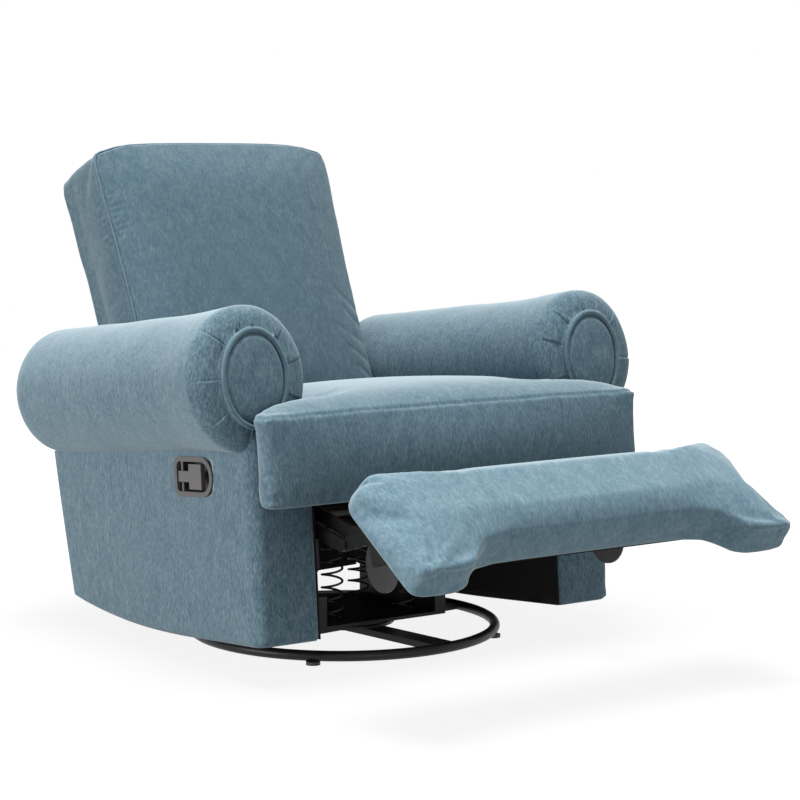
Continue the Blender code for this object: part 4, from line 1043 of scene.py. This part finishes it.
seat = cut_cover("seat_cover", "seat_cushion", CHAIR, 0.006, seat_held)
stuff(seat, seat_held, 4.0, 0.022)
ear_reach = max(vertex.co.x for vertex in seat.data.vertices) - SEAT_HALF_WIDTH
for vertex in seat.data.vertices:
    beyond = abs(vertex.co.x) - SEAT_HALF_WIDTH
    if beyond > 0.0:
        beyond *= min((EAR_WIDEST - SEAT_HALF_WIDTH) / ear_reach, 1.0)
        vertex.co.x = math.copysign(SEAT_HALF_WIDTH + beyond, vertex.co.x)
seat_seam = laid_on(seat, seat_line)
sew(seat, seat_seam, 0.0030, 0.0040, 0.0006)
hem_tucks = []
for side in (-1.0, 1.0):
    for x, reach in ((0.386, 0.022), (0.346, 0.030), (0.332, 0.018), (0.296, 0.014)):
        tuck_foot = (side * x, -0.397, 0.281)
        tuck_head = (side * (x + 0.004), -0.399, 0.284 + reach)
        hem_tucks.append((tuck_foot, tuck_head, 0.0028, 0.0050))
press_creases(seat, hem_tucks)
place_cover(seat, CHAIR, "chair", seat_cloth, "seat_cushion")

# Release handle
# A cup moulded in warm dark grey plastic, screwed through the side cover, with a T-shaped paddle that
# swings out on a steel pin at its rear.
grey_mould = moulded_plastic("grey_moulding", (0.080, 0.077, 0.074), (0.125, 0.120, 0.116), 0.36)
# The cup is painted darker than the paddle, standing in for the shade inside its hollow.
shaded_cup_mould = moulded_plastic("cup_moulding", (0.060, 0.057, 0.055), (0.105, 0.100, 0.096), 0.36)
finish_solid("handle_cup", shaded_cup_mould, 0.0014)
finish_solid("handle_paddle", grey_mould, 0.0016)
finish_solid("handle_pin", plated, 0.0004)

# Back cushion
# A boxed back of foam on springs: a crowned front panel, corded along its edge, a border round it.
# Its cover is drawn down at the lower corners, where it pulls into creases.
BACK_HINGE_Y = 0.285
BACK_HINGE_Z = 0.262
BACK = (CHAIR @ Matrix.Translation((0.0, BACK_HINGE_Y, BACK_HINGE_Z))
        @ Matrix.Rotation(math.radians(-19.0), 4, "X"))
BACK_HALF_WIDTH = 0.2585
BACK_FLARE = 0.016
BACK_FLARE_LOW = 0.400
BACK_LOW = 0.110
BACK_TOP = 0.670
BACK_TOP_CROWN = 0.036
BACK_SEAM_Y = -0.096
BACK_CORNER = 0.045
BACK_CORNER_BELOW = 0.020
BORDER_WRAP = 0.032
BORDER_SPREAD = 0.026
BACK_CORD_RADIUS = 0.0021
BACK_CORD_SINK = 0.0010
# The back's cloth is painted darker, 0.78, as painted shade that the lamps don't give it.
back_cloth = chenille("back_chenille", "yz", 0.75, 0.78)


def back_half(height):
    """Half the back's width: it widens above the arms."""
    share = (height - BACK_FLARE_LOW) / (BACK_TOP - BACK_FLARE_LOW)
    return BACK_HALF_WIDTH + BACK_FLARE * min(max(share, 0.0), 1.0)


back_side = [(back_half(z), BACK_SEAM_Y, z) for z in (BACK_LOW + 0.020, BACK_FLARE_LOW, BACK_TOP - 0.014)]
back_side.append((back_half(BACK_TOP) - 0.006, BACK_SEAM_Y, BACK_TOP + 0.006))
back_corners = [(-x, y, z) for x, y, z in back_side]
for step in range(1, 20):
    share = -1.0 + step / 10.0
    rise = BACK_TOP_CROWN * (1.0 - share ** 4)
    back_corners.append(((back_half(BACK_TOP) - 0.012) * share, BACK_SEAM_Y, BACK_TOP + rise))
back_corners += reversed(back_side)
back_line = drawn_line(back_corners)
near_back_seam = nearest_share(back_line)


def back_held(point):
    """The back cover is firm at its corded seam and where it meets the outside panel."""
    rear = smooth_step((point.y - 0.004) / 0.012)
    foot = 1.0 - smooth_step((point.z - BACK_LOW - 0.006) / 0.014)
    return max(rear, foot, min(1.0, 1.3 * near_back_seam(point, 0.012)))


# The top corners are squared and the border is pulled round the outside back's edges.
back = cut_cover("back_cover", "back_cushion", BACK, 0.006, back_held)
for vertex in back.data.vertices:
    spot = vertex.co
    out = abs(spot.x) - back_half(BACK_TOP) + BACK_CORNER
    above = spot.z - BACK_TOP + BACK_CORNER_BELOW
    if out > 0.0 and above > 0.0:
        fuller = smooth_step((spot.y + 0.110) / 0.060) * smooth_step((0.030 - spot.y) / 0.060)
        square = 2.5 + 1.5 * fuller
        squarer = math.hypot(out, above) / (out ** square + above ** square) ** (1.0 / square)
        squarer += 0.22 * fuller * min(out, above) / max(out, above)
        spot.x = math.copysign(back_half(BACK_TOP) - BACK_CORNER + out * squarer, spot.x)
        spot.z = BACK_TOP - BACK_CORNER_BELOW + above * squarer
    behind = smooth_step((spot.y + 0.060) / 0.080)
    spot.y += BORDER_WRAP * behind
    spot.x *= 1.0 + BORDER_SPREAD * behind
stuff(back, back_held, 4.0, 0.022)
back_seam = laid_on(back, back_line)
sew(back, back_seam, 0.0034, 0.0045, 0.0006)
pulls = []
for number in range(5):
    reach = 0.050 + 0.016 * (number % 3)
    start_z = 0.180 + 0.036 * number
    pulled_to = (0.254 - reach, -0.130, start_z + 0.030 + 0.006 * number)
    pulls.append(((0.254, -0.104, start_z), pulled_to, 0.0016, 0.0060))
for number in range(8):
    pucker_z = 0.500 + 0.0125 * number
    reach = 0.014 + 0.010 * (number % 3)
    edge = back_half(pucker_z)
    inward = (-edge + 0.004 + reach, -0.118, pucker_z + 0.006)
    pulls.append(((-edge + 0.004, -0.106, pucker_z), inward, 0.0018, 0.0034))
    behind = (-edge, -0.088 + reach, pucker_z - 0.008)
    pulls.append(((-edge, -0.088, pucker_z - 0.004), behind, 0.0016, 0.0034))
press_creases(back, pulls)
place_cover(back, BACK, "back", back_cloth, "back_cushion")
cord_points = [spot - normal * BACK_CORD_SINK for spot, normal in back_seam]
back_cord_mesh = cord_mesh("back_cord", cord_points, BACK_CORD_RADIUS, 10, False)
add_piece("back_cord", back_cord_mesh, BACK, "back", cord_cloth)

# Outside back
# A padded panel of the chenille stretched over the back frame and tacked under its edges.
PANEL_HALF_WIDTH = 0.2545
PANEL_CORNER = 0.045
PANEL_FRONT_Y = 0.0203
PANEL_REAR_Y = 0.0560
PANEL_ROWS = 60
outside_plan = rounded_plan(-PANEL_HALF_WIDTH, PANEL_HALF_WIDTH, PANEL_FRONT_Y, PANEL_REAR_Y,
                            (0.003, 0.003, 0.020, 0.020), 0.010)
rings = []
for row in range(PANEL_ROWS + 1):
    height = row / PANEL_ROWS
    near_end = min(max(abs(2.0 * height - 1.0) - 0.96, 0.0) / 0.04, 1.0)
    ends = 0.012 * (1.0 - math.sqrt(1.0 - near_end ** 2))
    ring = []
    for spot in outside_plan:
        across = spot.x / PANEL_HALF_WIDTH
        in_corner = max(abs(spot.x) - PANEL_HALF_WIDTH + PANEL_CORNER, 0.0) / PANEL_CORNER
        top = BACK_TOP + 0.45 * BACK_TOP_CROWN * (1.0 - across ** 4)
        top -= PANEL_CORNER * (1.0 - math.sqrt(max(1.0 - in_corner ** 2, 0.0)))
        rear = (spot.y - PANEL_FRONT_Y) / (PANEL_REAR_Y - PANEL_FRONT_Y)
        filled = 0.0065 * (1.0 - across ** 4) * math.sin(math.pi * height) ** 0.6
        wave = 0.0014 * noise.noise(Vector((spot.x * 6.0, 8.0, height * 4.0)))
        point = Vector((0.0, spot.y + rear * (filled + wave - ends), BACK_LOW + height * (top - BACK_LOW)))
        point.x = across * (back_half(point.z) - BACK_HALF_WIDTH + PANEL_HALF_WIDTH) * (1.0 - ends * 0.6)
        ring.append(point)
    rings.append(ring)
outside_mesh = skin_mesh("outside_back", rings, Vector((0.0, 0.030, BACK_LOW)),
                         Vector((0.0, 0.030, BACK_TOP + 0.45 * BACK_TOP_CROWN)))
outside = add_piece("outside_back", outside_mesh, BACK, "back", back_cloth)
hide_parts("back_panel")
for side_name in ("left", "right"):
    finish_solid(f"back_bracket_{side_name}", black_coat, 0.0010)

# Footrest linkage
# Flat steel links, stamped and powder coated, turn on shouldered rivets; a tube ties both sides together.
# A plastic guard disc on each foot link keeps fingers out of the scissors.
for side_name in ("left", "right"):
    for node in ("front_link", "foot_link", "cross_link", "footrest_bracket"):
        finish_solid(f"{node}_{side_name}", black_coat, 0.0009)
    finish_solid(f"guard_disc_{side_name}", black_mould, 0.0012)
finish_solid("torque_tube", black_coat, 0.0008)

# Footrest
# A foam pad on a board, wrapped in one piece of the chenille with the corners folded in and sewn.
# The lower edge is cut out between two corner tabs; black dust cloth closes the board's rear.
FOOT = (CHAIR @ Matrix.Translation((0.0, -0.586, 0.2555))
        @ Matrix.Rotation(math.radians(-52.5), 4, "X"))
PAD_REAR_Y = -0.026
PAD_HALF_WIDTH = 0.390
PAD_TOP = 0.048
PAD_ROUND = 0.055
PAD_FULLNESS = 1.22
PAD_LOW = -0.2017
PAD_NOTCH_LOW = -0.1467
PAD_NOTCH_HALF_WIDTH = 0.262
PAD_EDGE = 0.050
PAD_FRONT_Y = -0.093
PAD_SQUARENESS = 2.6
PAD_SPREAD = 1.018
PAD_SHIFT = 0.004
TAB_SEAM_Y = -0.080
TAB_SEAM_Z = -0.196
PUCKER_X = 0.355
TAB_SEAM_X = (PUCKER_X, 0.310, 0.272)
# The footrest's cloth is painted lighter, 1.26, as painted light that the lamps don't give it.
pad_cloth = chenille("footrest_chenille", "yz", 0.75, 1.26)
tab_lines = []
for side in (-1.0, 1.0):
    tab_lines.append(drawn_line([(side * x, TAB_SEAM_Y, TAB_SEAM_Z) for x in TAB_SEAM_X]))
near_tab_seam = nearest_share(tab_lines[0] + tab_lines[1])


def pad_held(point):
    """The pad's cover is firm where it is pulled over the board and at its tab seams."""
    rear = smooth_step((point.y - PAD_REAR_Y + 0.020) / 0.012)
    return max(rear, min(1.0, 1.2 * near_tab_seam(point, 0.010)))


pad = cut_cover("footrest_cover", "footrest_pad", FOOT, 0.005, pad_held)
for vertex in pad.data.vertices:
    spot = vertex.co
    in_tab = smooth_step((abs(spot.x) - PAD_NOTCH_HALF_WIDTH + 0.012) / 0.024)
    forward = PAD_EDGE - spot.y + PAD_FRONT_Y
    below = PAD_EDGE - spot.z + PAD_NOTCH_LOW + in_tab * (PAD_LOW - PAD_NOTCH_LOW)
    if forward > 0.0 and below > 0.0:
        squared = (forward ** PAD_SQUARENESS + below ** PAD_SQUARENESS) ** (1.0 / PAD_SQUARENESS)
        squarer = math.hypot(forward, below) / squared
        spot.y -= forward * (squarer - 1.0)
        spot.z -= below * (squarer - 1.0)
    spot.y = PAD_REAR_Y + (spot.y - PAD_REAR_Y) * PAD_FULLNESS
    out = abs(spot.x) - PAD_HALF_WIDTH + PAD_ROUND
    above = spot.z - PAD_TOP + PAD_ROUND
    if out > 0.0 and above > 0.0:
        shrink = max(out, above) / math.hypot(out, above)
        spot.x = math.copysign(PAD_HALF_WIDTH - PAD_ROUND + out * shrink, spot.x)
        spot.z = PAD_TOP - PAD_ROUND + above * shrink
    spot.x = spot.x * PAD_SPREAD - PAD_SHIFT
stuff(pad, pad_held, 5.0, 0.018)
for line in tab_lines:
    sew(pad, laid_on(pad, line), 0.0040, 0.0045, 0.0010)
folds = []
for side in (-1.0, 1.0):
    heart = (side * PUCKER_X, TAB_SEAM_Y - 0.004, TAB_SEAM_Z)
    folds.append((heart, (side * 0.344, -0.104, -0.160), 0.0055, 0.0052))
    folds.append(((side * 0.364, -0.098, -0.180), (side * 0.354, -0.110, -0.138), 0.0042, 0.0054))
    folds.append((heart, (side * 0.380, -0.096, -0.176), 0.0038, 0.0056))
    folds.append((heart, (side * 0.374, -0.066, -0.204), 0.0038, 0.0056))
    folds.append((heart, (side * 0.346, -0.064, -0.206), 0.0032, 0.0056))
press_creases(pad, folds)
place_cover(pad, FOOT, "footrest", pad_cloth, "footrest_pad")
finish_solid("footrest_board", dust_cloth, 0.0016)
